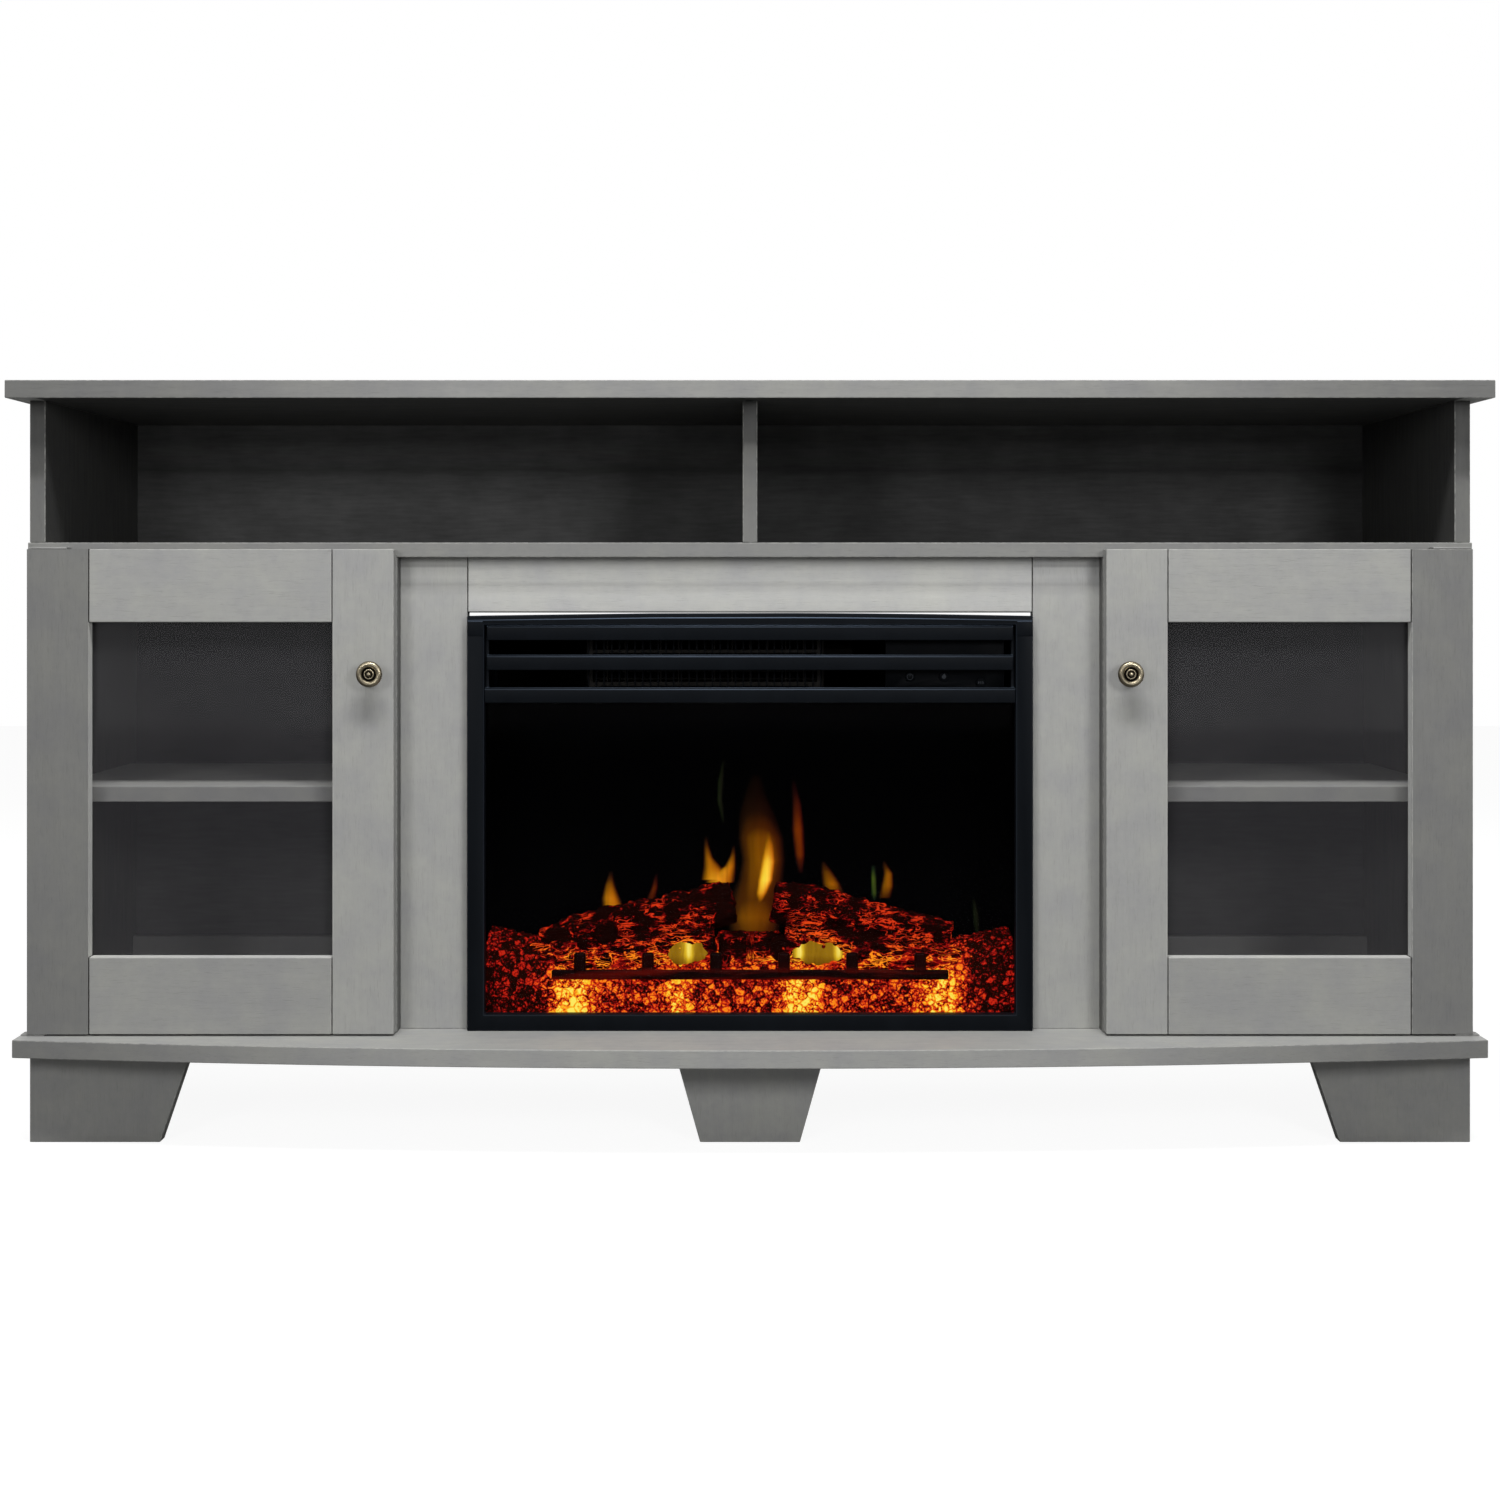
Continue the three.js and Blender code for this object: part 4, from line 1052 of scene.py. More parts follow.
def dress(piece: Piece, finish: Finish, body: str = "root", stands_for: Sequence[str] = ()) -> None:
    """Gives a finished piece its material and its body, and hides the nodes that it is shown for.

    Args:
        piece: the piece.
        finish: what it is made of.
        body: the body that it moves with.
        stands_for: the nodes that it is shown for.
    """
    piece.data.materials.clear()
    piece.data.materials.append(finish.material)
    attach(piece, body)
    if stands_for:
        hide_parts(*stands_for)
    report.info("%s: %d faces on %s", piece.name, len(piece.data.polygons), body)


def dress_nodes(material: Material, *nodes: str) -> None:
    """Gives solids of the frame that stay as they are a better material.

    Args:
        material: the material.
        *nodes: the solids' nodes.
    """
    for node in nodes:
        solid = frame["nodes"][node]
        solid.data.materials.clear()
        solid.data.materials.append(material)
        report.info("%s: kept", node)


def refine(node: str, word: str, finish: Finish, width: float, segments: int = 2,
           rule: ToneRule | None = None, body: str = "root") -> None:
    """Makes a copy of a solid with rounded edges.

    Args:
        node: the solid's node.
        word: the word that the piece's name ends with.
        finish: what it is made of.
        width: how far from each edge the rounding starts.
        segments: how many facets it has.
        rule: how strongly each rounded edge is marked.
        body: the body that it moves with.
    """
    piece = copy_of(node, f"{node}_{word}")
    ease(piece, width, segments, rule)
    smooth(piece)
    dress(piece, finish, body, [node])


# The cabinet


@dataclass(frozen=True)
class Board:
    """One painted board: its node, its grain, its tone, its body, and whether its ends show a joint."""

    node: str
    grain: Grain
    tone: float = 1.0
    body: str = "root"
    jointed: bool = False


@dataclass
class Joinery:
    """Makes painted boards with eased edges and fine joints."""

    rounding: float = 0.0009
    joint: float = 0.0009
    smooth_angle: float = 4
    # Painted shade on the front edges towards the stand's ends, and how far it reaches
    end_shade_share: float = 0.42
    front_lean: float = -0.3
    end_shade_reach: Span = (0.25, 0.72)
    end_shade_cuts: int = 11
    paints: dict[Grain, Finish] = field(default_factory=dict)

    def paint(self, grain: Grain) -> Finish:
        """The paint for a grain, made once."""
        if grain not in self.paints:
            self.paints[grain] = Finish(PaintedWood(grain).material(), "painted_wood")
        return self.paints[grain]

    def shorten(self, piece: Piece) -> None:
        """Takes a joint's width off both ends of a board that lies along X.

        Args:
            piece: the board.
        """
        ends = [corner[X] for corner in piece.bound_box]
        for end, step in ((min(ends), self.joint), (max(ends), -self.joint)):
            with editing(piece):
                choose(piece, lambda c, n: abs(n.x) > SQUARE and abs(c.x - end) < self.joint)
                bpy.ops.transform.translate(value=(step, 0, 0))

    def painted_end_shade(self, corner: Vector, normal: Vector) -> float:
        """Paints shade on a front edge, darker towards the stand's ends."""
        share = 0.0 if normal.y > self.front_lean else self.end_shade_share
        return 1 - share * step_between(abs(corner.x), *self.end_shade_reach)

    def make(self, board: Board, rule: ToneRule | None = None, fade: ToneRule | None = None,
             splits: Sequence[float] = ()) -> None:
        """Makes one board.

        Args:
            board: what it is.
            rule: the tone of each face, where it isn't the board's all over.
            fade: the painted light and shade, as how its tone changes from corner to corner.
            splits: heights at which its faces are divided, so that they can differ in tone.
        """
        piece = copy_of(board.node, f"{board.node}_painted")
        if board.jointed:
            self.shorten(piece)
        cut(piece, Z, splits)
        if fade:
            last = self.end_shade_cuts - 1
            cut(piece, X, [self.end_shade_reach[1] * (2 * i / last - 1) for i in range(self.end_shade_cuts)])
        ease(piece, self.rounding)
        tone(piece, rule or (lambda centre, normal: board.tone), fade)
        smooth(piece, self.smooth_angle)
        dress(piece, self.paint(board.grain), board.body, [board.node])


def painted_top_light_rule(top: float, rest: float) -> ToneRule:
    """Painted light: one tone on the faces that look up and another on the rest."""
    return lambda centre, normal: top if normal.z > FACING else rest


def side_rule(dark: float, inside: FaceRule, rest: float) -> ToneRule:
    """A dark tone on the faces that a rule picks and another on the rest."""
    return lambda centre, normal: dark if inside(centre, normal) else rest


@dataclass
class Carcass:
    """The boards that stand still, the feet, and the surround of the fire."""

    joinery: Joinery
    plain_boards: tuple[Board, ...] = (
        Board("rear_rail", Grain.ALONG_X, 0.7), Board("front_centre_foot", Grain.ALONG_Z, 0.85),
        *(Board(f"{end}_{side}_foot", Grain.ALONG_Z, 0.6) for side in SIDES for end in ("front", "rear")),
    )
    rail: Board = Board("surround_rail", Grain.ALONG_X, 1.36, jointed=True)
    divider: Board = Board("upper_divider", Grain.ALONG_Z, 0.32)
    stile_tone: float = 0.87
    top_tone: float = 0.63
    deck_tone: float = 0.54
    upper_panel_tone: float = 0.33
    lower_panel_tone: float = 0.5
    inside_tone: float = 0.12
    soffit_tone: float = 0.08
    # Painted light on the bay's ceiling, lighter towards the back
    soffit_painted_light: float = 3.0
    # Painted light rising towards the top of the bay's back, and a painted shadow edge across it
    back_painted_light: float = 2.3
    shade_share: float = 0.58
    shade_edge: float = 0.008
    shade_depth: float = 0.36
    rear_face: float = 3.0
    cupboard_tone: float = 0.27
    # Painted light: the shelves' and the base's upper faces in another tone than their other faces
    shelf_top_tone: float = 1.6
    shelf_tone: float = 0.8
    base_top_tone: float = 1.0
    base_tone: float = 0.8
    # Painted shadows under the deck and the top board: depth under that board, with the tone's share there
    rail_painted_shadow: Knots = (
        (0.006, 0.68), (0.009, 0.95), (0.014, 1.25), (0.024, 1.38), (0.0285, 1.10), (0.034, 0.92),
        (0.041, 0.87), (0.052, 0.88),
    )
    stile_painted_shadow: Knots = (
        (0.009, 1.0), (0.011, 1.6), (0.020, 1.9), (0.025, 1.75), (0.0285, 1.45), (0.032, 1.25),
        (0.037, 1.1), (0.044, 1.07), (0.094, 1.0),
    )
    divider_painted_shadow: Knots = (
        (0.008, 0.24), (0.018, 0.47), (0.028, 0.57), (0.041, 0.57), (0.047, 0.85), (0.070, 0.84),
        (0.080, 1.0), (0.100, 1.13), (0.120, 1.3), (0.140, 1.35),
    )
    panel_painted_shadow: Knots = (
        (0.008, 0.24), (0.018, 0.50), (0.030, 0.55), (0.047, 0.50), (0.070, 0.46), (0.076, 0.60),
        (0.083, 0.90), (0.090, 1.0), (0.140, 1.06),
    )
    # Painted light and shade on the back panel: tones of its left and right halves, and shade near the
    # cupboards' tops
    bay_tone_and_light: Span = (2.4, 1.5)
    cupboard_tone_and_light: Span = (2.3, 2.0)
    upper_cupboard_tone_and_shade: float = 1.1
    cupboard_painted_shade: Knots = (
        (0.385, 1.1), (0.395, 1.0), (0.414, 0.82), (0.458, 0.78), (0.482, 0.66), (0.51, 0.66),
    )

    def build(self) -> None:
        """Makes all the boards."""
        make = self.joinery.make
        for board in self.plain_boards:
            make(board)
        self.shaded_board(self.rail, "deck_board", self.rail_painted_shadow)
        for side in SIDES:
            stile = Board(f"surround_{side}_stile", Grain.ALONG_Z, self.stile_tone)
            self.shaded_board(stile, "deck_board", self.stile_painted_shadow)
        base = Board("base_board", Grain.ALONG_X)
        make(base, painted_top_light_rule(self.base_top_tone, self.base_tone), self.joinery.painted_end_shade)
        for side in SIDES:
            shelf = Board(f"{side}_shelf", Grain.ALONG_X)
            make(shelf, painted_top_light_rule(self.shelf_top_tone, self.shelf_tone))
        self.bay_boards()
        self.back()

    def shaded_board(self, board: Board, node: str, shades: Knots, rule: ToneRule | None = None) -> None:
        """Makes a board with a painted shadow on its front, whose tone changes with the depth under another
        board.

        Args:
            board: what it is.
            node: the board over it.
            shades: the painted shadow: the depths under that board, with the tone's share at each.
            rule: the tone of each face, where it isn't the board's all over.
        """
        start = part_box(node)[0].z

        def fade(corner: Vector, normal: Vector) -> float:
            """The share of the tone at a corner, with the painted shadow."""
            return along_knots(shades, start - corner.z) if normal.y < -FACING else 1.0

        self.joinery.make(board, rule, fade, [start - depth for depth, _ in shades])

    def bay_boards(self) -> None:
        """Makes the boards round the bays, with the bays' sides in a dark tone."""
        top_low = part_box("top_board")[0].z
        deck_low, deck_top = (corner.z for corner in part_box("deck_board"))
        inset = self.joinery.rounding * 2
        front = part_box("deck_board")[0].y + inset
        outer, lower_outer = (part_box(f"{word}_right_side_panel")[1].x - inset for word in ("upper", "lower"))

        def bay_side(centre: Vector, normal: Vector) -> bool:
            """Tells whether a face looks into the media bay."""
            inside = abs(centre.x) < outer and centre.y > front
            return inside and deck_top - inset < centre.z < top_low + inset

        def bay_soffit(centre: Vector, normal: Vector) -> bool:
            """Tells whether a face is the media bay's ceiling."""
            return bay_side(centre, normal) and normal.z < -FACING

        def cupboard_side(centre: Vector, normal: Vector) -> bool:
            """Tells whether a face looks into a cupboard."""
            return abs(centre.x) < lower_outer and centre.y > front and centre.z < deck_low + inset

        make, along, up = self.joinery.make, Grain.ALONG_X, Grain.ALONG_Z
        for word, plain, fade in (("top", self.top_tone, self.painted_top_light), ("deck", self.deck_tone, None)):
            make(Board(f"{word}_board", along), side_rule(self.soffit_tone, bay_soffit, plain), fade)
        self.shaded_board(
            self.divider, "top_board", self.divider_painted_shadow,
            side_rule(self.inside_tone, bay_side, self.divider.tone))
        for side in SIDES:
            self.shaded_board(
                Board(f"upper_{side}_side_panel", up), "top_board", self.panel_painted_shadow,
                side_rule(self.inside_tone, bay_side, self.upper_panel_tone))
            for node in (f"lower_{side}_side_panel", f"{side}_inner_panel"):
                rule = side_rule(self.cupboard_tone, cupboard_side, self.lower_panel_tone)
                make(Board(node, up), rule)

    def painted_top_light(self, corner: Vector, normal: Vector) -> float:
        """Paints the top board's underside lighter towards the back, where less light falls, and paints shade
        at the ends of its front edge.

        Args:
            corner: a corner's place.
            normal: the normal of its face.

        Returns:
            The share of the tone there.
        """
        if normal.z < -FACING:
            low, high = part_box("top_board")
            return 1 + self.soffit_painted_light * (corner.y - low.y) / (high.y - low.y)
        return self.joinery.painted_end_shade(corner, normal)

    def back(self) -> None:
        """Makes the back panel, painted lighter where less light falls, with a painted shadow edge behind the
        bay.
        """
        deck_low, deck_top = (corner.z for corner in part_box("deck_board"))
        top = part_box("top_board")[0].z
        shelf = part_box("left_shelf")[1].z
        start = deck_top + (top - deck_top) * self.shade_share
        heights = [shelf, (deck_low + deck_top) / 2, start, start + self.shade_edge, (start + top) / 2]
        piece = copy_of("back_panel", "back_panel_finished")
        cut(piece, Z, heights + [height for height, _ in self.cupboard_painted_shade if height > shelf])
        cut(piece, X, [0])
        ease(piece, self.joinery.rounding / 2)

        def rule(centre: Vector, normal: Vector) -> float:
            """The tone behind each bay and each cupboard's halves, with painted light on the left halves, and
            of the panel's back.

            Args:
                centre: the face's centre.
                normal: its normal.

            Returns:
                The tone.
            """
            if normal.y > FACING:
                return self.rear_face
            side = int(centre.x > 0)
            if centre.z > deck_low:
                return self.bay_tone_and_light[side]
            return self.upper_cupboard_tone_and_shade if centre.z > shelf else self.cupboard_tone_and_light[side]

        def fade(corner: Vector, normal: Vector) -> float:
            """Paints shade on the bay's back over the light's edge with painted light rising above it, and
            paints shade on the cupboards' backs near their tops.

            Args:
                corner: a corner's place.
                normal: the normal of its face.

            Returns:
                The share of the tone there.
            """
            if normal.y > 0:
                return 1.0
            if corner.z < deck_low:
                return along_knots(self.cupboard_painted_shade, corner.z) if corner.z > shelf else 1.0
            shade = 1 - self.shade_depth * step_between(corner.z, start, start + self.shade_edge)
            return shade * (1 + self.back_painted_light * step_between(corner.z, start, top))

        tone(piece, rule, fade)
        dress(piece, Finish(BayBoard().material(), "painted_wood"), stands_for=["back_panel"])


KNOB_PROFILE: Knots = (
    (0, 0), (0.53, 0), (0.53, 0.07), (0.50, 0.11), (0.42, 0.15), (0.36, 0.22), (0.34, 0.35),
    (0.35, 0.47), (0.42, 0.56), (0.60, 0.62), (0.80, 0.65), (0.93, 0.69), (0.985, 0.74), (1.0, 0.80),
    (0.99, 0.85), (0.96, 0.895), (0.91, 0.93), (0.85, 0.95), (0.78, 0.96), (0.70, 0.955),
    (0.63, 0.94), (0.57, 0.915), (0.53, 0.88), (0.50, 0.85), (0.47, 0.84), (0.43, 0.85),
    (0.40, 0.875), (0.36, 0.895), (0.31, 0.895), (0.27, 0.87), (0.24, 0.85), (0.20, 0.85),
    (0.18, 0.89), (0.165, 0.94), (0.13, 0.98), (0.07, 1.0), (0, 1.0),
)


@dataclass
class Door:
    """One glazed door: four boards, a pane, a turned knob, two pivots and a catch."""

    joinery: Joinery
    side: str
    glass: Finish
    brass: Finish
    zinc: Finish
    plastic: Finish
    # The boards' tones are partly their own and partly painted shade, darkest on the hinge stile towards the
    # stand's end
    boards: tuple[tuple[str, Grain, float], ...] = (
        ("hinge_stile", Grain.ALONG_Z, 0.44), ("lock_stile", Grain.ALONG_Z, 0.82),
        ("top_rail", Grain.ALONG_X, 0.82), ("bottom_rail", Grain.ALONG_X, 0.74),
    )
    knob_steps: int = 64
    knob_angle: float = 50
    edge_reach: float = 0.012
    edge_lean: float = 0.25
    edge_back: float = 0.1
    edge_front: float = -0.2
    sliver_painted_light: float = 1.6
    arris_painted_light: float = 1.45
    joint_tone: float = 0.25
    pane_rounding: float = 0.0004
    pivot_rounding: float = 0.0003
    catch_rounding: float = 0.0012
    groove_radius: float = 0.6
    groove_depth: Span = (0.6, 0.885)
    least_patina: float = 0.08
    painted_shade_gain: float = 0.62
    # Painted shade on the knob's lower left side, lighter towards its upper right
    painted_shade_lean: Span = (-0.7, -0.7)
    painted_shade_reach: Span = (-0.35, 0.85)

    @property
    def body(self) -> str:
        """The body that the door is."""
        return f"{self.side}_door"

    def build(self) -> None:
        """Makes the door."""
        for word, grain, plain in self.boards:
            rail = grain is Grain.ALONG_X
            board = Board(f"{self.body}_{word}", grain, plain, self.body, rail)
            self.joinery.make(board, self.edge_rule(board), splits=() if rail else self.opening())
        self.pane()
        self.knob()
        for word in ("lower_pivot", "upper_pivot"):
            refine(f"{self.body}_{word}", "plated", self.zinc, self.pivot_rounding)
        refine(f"{self.body}_catch", "moulded", self.plastic, self.catch_rounding, 3)

    def opening(self) -> Span:
        """The heights between which the pane shows."""
        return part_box(f"{self.body}_bottom_rail")[1].z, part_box(f"{self.body}_top_rail")[0].z

    def edge_rule(self, board: Board) -> ToneRule:
        """The tones of a door board, with painted light on the edges round the pane, where they catch the
        light.

        Args:
            board: the board.

        Returns:
            The rule that picks the tone of each face.
        """
        low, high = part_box(f"{self.body}_glass")
        middle = (low + high) / 2
        across = (high - low) / 2
        sill, head = self.opening()
        sill -= self.joinery.rounding * 2
        stile = "stile" in board.node

        def rule(centre: Vector, normal: Vector) -> float:
            """Picks the tone of one face.

            Args:
                centre: the face's centre.
                normal: its normal.

            Returns:
                The tone.
            """
            to_pane = middle - centre
            beside = abs(to_pane.x) - across.x if stile else abs(to_pane.z) - across.z
            inward = normal.x * math.copysign(1, to_pane.x) if stile else normal.z
            away = beside > self.edge_reach or inward < self.edge_lean or normal.y > self.edge_back
            if away or "top_rail" in board.node:
                return board.tone
            flat = normal.y > self.edge_front
            if stile and not sill < centre.z < head:
                return self.joint_tone if flat else board.tone
            # Painted light on the faces and edges round the pane
            return self.sliver_painted_light if flat else board.tone * self.arris_painted_light

        return rule

    def pane(self) -> None:
        """Makes the pane with ground edges."""
        node = f"{self.body}_glass"
        piece = copy_of(node, f"{node}_pane")
        ease(piece, self.pane_rounding, 1)
        dress(piece, self.glass, self.body, [node])

    def knob(self) -> None:
        """Turns the knob: a foot, a neck, and a head with a rolled rim, a dish, a ring and a dot."""
        node = f"{self.body}_knob"
        low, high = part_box(node)
        centre = ((low.x + high.x) / 2, high.y, (low.z + high.z) / 2)
        radius, reach = (high.x - low.x) / 2, high.y - low.y
        piece = turned(f"{node}_turned", KNOB_PROFILE, (radius, reach), centre, self.knob_steps)
        smooth(piece, self.knob_angle)

        def patina(place: Vector) -> float:
            """How much patina is left, all in the grooves and a little elsewhere, and how much painted shade
            lies towards the knob's lower left side.

            Args:
                place: a point on the knob.

            Returns:
                The share of patina and painted shade.
            """
            across, up = (place.x - centre[X]) / radius, (place.z - centre[Z]) / radius
            depth = (high.y - place.y) / reach
            top, floor = self.groove_depth
            if math.hypot(across, up) < self.groove_radius and top < depth < floor:
                return 1.0
            shade_lean = self.painted_shade_lean[0] * across + self.painted_shade_lean[1] * up
            painted_shade = step_between(shade_lean, *self.painted_shade_reach)
            return self.least_patina + self.painted_shade_gain * painted_shade

        # The hollow mark holds the patina in the grooves and the painted shade
        mark_points(piece, "hollow", patina)
        dress(piece, self.brass, self.body, [node])


# The electric fire


@dataclass
class InsertCase:
    """The insert's front frame, louvers, housing, window, guard, panel and buttons."""

    steel: Finish
    lip: Finish
    plastic: Finish
    mark: Finish
    window: Finish
    frame_rounding: float = 0.0012
    lip_rounding: float = 0.0008
    bead_drop: float = 0.0042
    bead_height: float = 0.0010
    bead_rise: float = 0.0003
    bead_ease: float = 0.8
    # Painted highlights: on the bead, on the lower louvers' lips and on the end caps
    bead_painted_highlight: float = 0.38
    slat_painted_highlight: float = 0.16
    lip_lean: Span = (0.25, -0.1)
    cap_painted_highlight: float = 0.8
    cap_lean: Span = (0.3, -0.1)
    cap_rise: float = 0.0004
    cap_height: float = 0.0115
    cap_margin: float = 0.0007
    sheet_rounding: float = 0.0005
    icon_height: float = 0.0003
    ring_share: float = 0.5
    line_box: tuple[Place, Place] = ((-0.06, -1, 0.1), (0.06, 0, 0.62))
    wave_box: tuple[Place, Place] = ((-0.1, -1, -0.2), (0.1, 0, 0.2))
    wave_step: float = 0.36
    tongue_share: float = 0.36
    tongue_taper: float = 0.42
    tongue_start: float = 0.02
    tongue_lean: float = 0.2
    tongue_draw: float = 0.9

    def build(self) -> None:
        """Makes the case; the bead comes first, since it is cut from the frame's own solid."""
        self.bead()
        sheet = self.sheet_rounding
        for node, finish, width, segments, rule in (
            ("insert_front_frame", self.steel, self.frame_rounding, 3, None),
            ("insert_louver_grille", self.lip, self.lip_rounding, 3, self.lip_painted_highlight),
            ("insert_housing", self.steel, sheet, 1, None),
            ("window_glass", self.window, sheet, 1, None),
            ("vent_guard", self.plastic, sheet / 2, 1, None),
            ("control_panel", self.plastic, sheet, 2, None),
            ("cord_gland", self.plastic, sheet, 2, None),
        ):
            refine(node, "finished", finish, width, segments, rule)
        self.end_caps()
        for word, make in (("power", self.ring), ("flame", self.tongue), ("heat", self.bar)):
            self.button(word, make)

    def lip_painted_highlight(self, centre: Vector, normal: Vector) -> float:
        """How strong the painted highlight on a rounded edge of a louver is: the upper ones only, the
        uppermost most of all.

        Args:
            centre: the middle of a strip of the edge.
            normal: its normal.

        Returns:
            The painted highlight's share, 0 to 1.
        """
        if normal.z < self.lip_lean[0] or normal.y > self.lip_lean[1]:
            return 0.0
        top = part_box("insert_louver_grille")[1].z
        return 1.0 if centre.z > top - 2 * self.lip_rounding else self.slat_painted_highlight

    def bead(self) -> None:
        """Makes the fine bead that runs under the cap's arched edge, with a painted highlight all over it."""
        arch_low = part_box("insert_front_frame")[1].z - 2 * self.bead_drop
        piece = copy_of("insert_front_frame", "insert_cap_bead")
        with editing(piece):
            choose(piece, lambda c, n: n.z > SQUARE and c.z > arch_low)
            bpy.ops.mesh.select_all(action="INVERT")
            bpy.ops.mesh.delete(type="FACE")
        with editing(piece):
            bpy.ops.transform.translate(value=(0, -self.bead_rise, -self.bead_drop))
        apply(piece, "SOLIDIFY", thickness=self.bead_height, offset=-1)
        ease(piece, self.bead_rise * self.bead_ease)
        # The whole bead carries a painted highlight
        edge = piece.data.attributes["edge"]
        edge.data.foreach_set("value", [self.bead_painted_highlight] * len(edge.data))
        smooth(piece)
        dress(piece, self.lip)

    def end_caps(self) -> None:
        """Makes the thin caps that close the side trims at the top, with a painted highlight on their upper
        front edges.
        """
        low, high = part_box("insert_front_frame")
        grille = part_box("insert_louver_grille")[1]
        for word, side in zip(SIDES, (-1, 1)):
            near, far = sorted((side * (grille.x + 2 * self.cap_margin), side * (high.x - self.cap_margin)))
            piece = block(
                f"insert_{word}_end_cap", (near, low.y - self.cap_rise, grille.z - self.cap_height),
                (far, low.y + self.frame_rounding * 2, grille.z + self.cap_height / 3), self.cap_margin, 3)
            up, forward = self.cap_lean
            mark_faces(piece, "edge", [
                self.cap_painted_highlight if face.normal.z > up and face.normal.y < forward else 0.0
                for face in piece.data.polygons])
            smooth(piece)
            dress(piece, self.lip)

    def button(self, word: str, make: Callable[[str, Vector, float], Piece]) -> None:
        """Makes a push button with its mark, both on a body of their own.

        Args:
            word: what the button is for.
            make: makes the mark from its name, its middle and half the button's height.
        """
        node = f"{word}_button"
        refine(node, "moulded", self.plastic, self.sheet_rounding, 3, body=node)
        low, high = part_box(node)
        centre = Vector(((low.x + high.x) / 2, low.y, (low.z + high.z) / 2))
        mark = make(f"{word}_mark", centre, (high.z - low.z) / 2)
        smooth(mark)
        dress(mark, self.mark, node)

    def raised(self, name: str, centre: Vector, radius: float, box: tuple[Place, Place],
               shift: float = 0) -> Piece:
        """Raises a small block off a button.

        Args:
            name: the piece's name.
            centre: the button's middle.
            radius: half the button's height.
            box: the block's corners as shares, of the radius along X and Z and of the rise along Y.
            shift: how far it stands to the side, as a share of the radius.

        Returns:
            The block.
        """
        rise = self.icon_height
        low, high = (centre + Vector(((shift + x) * radius, y * rise, z * radius)) for x, y, z in box)
        return block(name, low, high, rise / 3)

    def ring(self, name: str, centre: Vector, radius: float) -> Piece:
        """A raised ring that a short line crosses at its top."""
        ring = added(
            name, bpy.ops.mesh.primitive_torus_add, location=centre, rotation=(math.pi / 2, 0, 0),
            major_radius=radius * self.ring_share, minor_radius=self.icon_height, major_segments=40,
            minor_segments=10)
        return joined(name, [ring, self.raised(f"{name}_line", centre, radius, self.line_box)])

    def tongue(self, name: str, centre: Vector, radius: float) -> Piece:
        """A raised flame: a drop drawn up to a point.

        Args:
            name: the piece's name.
            centre: the button's middle.
            radius: half the button's height.

        Returns:
            The flame.
        """
        size = radius * self.tongue_share
        piece = added(
            name, bpy.ops.mesh.primitive_uv_sphere_add, (1, self.icon_height / size, 1), segments=24,
            ring_count=14, radius=size, location=centre)
        top = centre.z + radius * self.tongue_start
        with editing(piece):
            mesh = bmesh.from_edit_mesh(piece.data)
            for vertex in mesh.verts:
                lift = max(0.0, vertex.co.z - top)
                off = (vertex.co.x - centre.x) * (1 - lift / (radius * self.tongue_taper))
                vertex.co.x = centre.x + off + lift * self.tongue_lean
                vertex.co.z += lift * self.tongue_draw
            bmesh.update_edit_mesh(piece.data)
        return piece

    def bar(self, name: str, centre: Vector, radius: float) -> Piece:
        """Raised short waves that lie side by side in a bar."""
        steps = (-self.wave_step, 0, self.wave_step)
        return joined(name, [
            self.raised(f"{name}_{i}", centre, radius, self.wave_box, step) for i, step in enumerate(steps)])


@dataclass(frozen=True)
class HotSpot:
    """A place along the bed where the coals burn brightest."""

    across: float
    reach: float
    heat: float


@dataclass(frozen=True)
class BedStep:
    """One step of the bed's rise from the window to the screen, measured from the bed's front foot."""

    back: float
    rise: float
    pile: float


@dataclass(frozen=True)
class Hollow:
    """A lit hollow under the logs: its place across, its half sizes, and its bright streaks."""

    across: float
    half_width: float
    streaks: Knots
    middle: Span = (-0.0815, 0.185)
    half_height: float = 0.0115
    half_depth: float = 0.004
    glow_reach: float = 0.018
    glow_spread: float = 1.3
    plain_light: float = 0.50
    streak_light: float = 0.55
    low_shade: float = 0.35
    low_reach: float = 0.012

    def light(self, place: Vector) -> float:
        """How bright the fire behind the hollow is at a place.

        Args:
            place: the place.

        Returns:
            The brightness.
        """
        share = (place.x - self.across) / self.half_width
        streak = max(math.exp(-((share - middle) / width) ** 2) for middle, width in self.streaks)
        low_side = step_between(self.middle[1] - place.z, 0.0, self.low_reach)
        return (self.plain_light + self.streak_light * streak) * (1 - self.low_shade * low_side)

    def warmth(self, place: Vector) -> float:
        """How much the hollow warms a place on the logs round it."""
        away = math.hypot(
            (place.x - self.across) / self.half_width, (place.z - self.middle[1]) / self.glow_reach)
        return math.exp(-(away / self.glow_spread) ** 2)


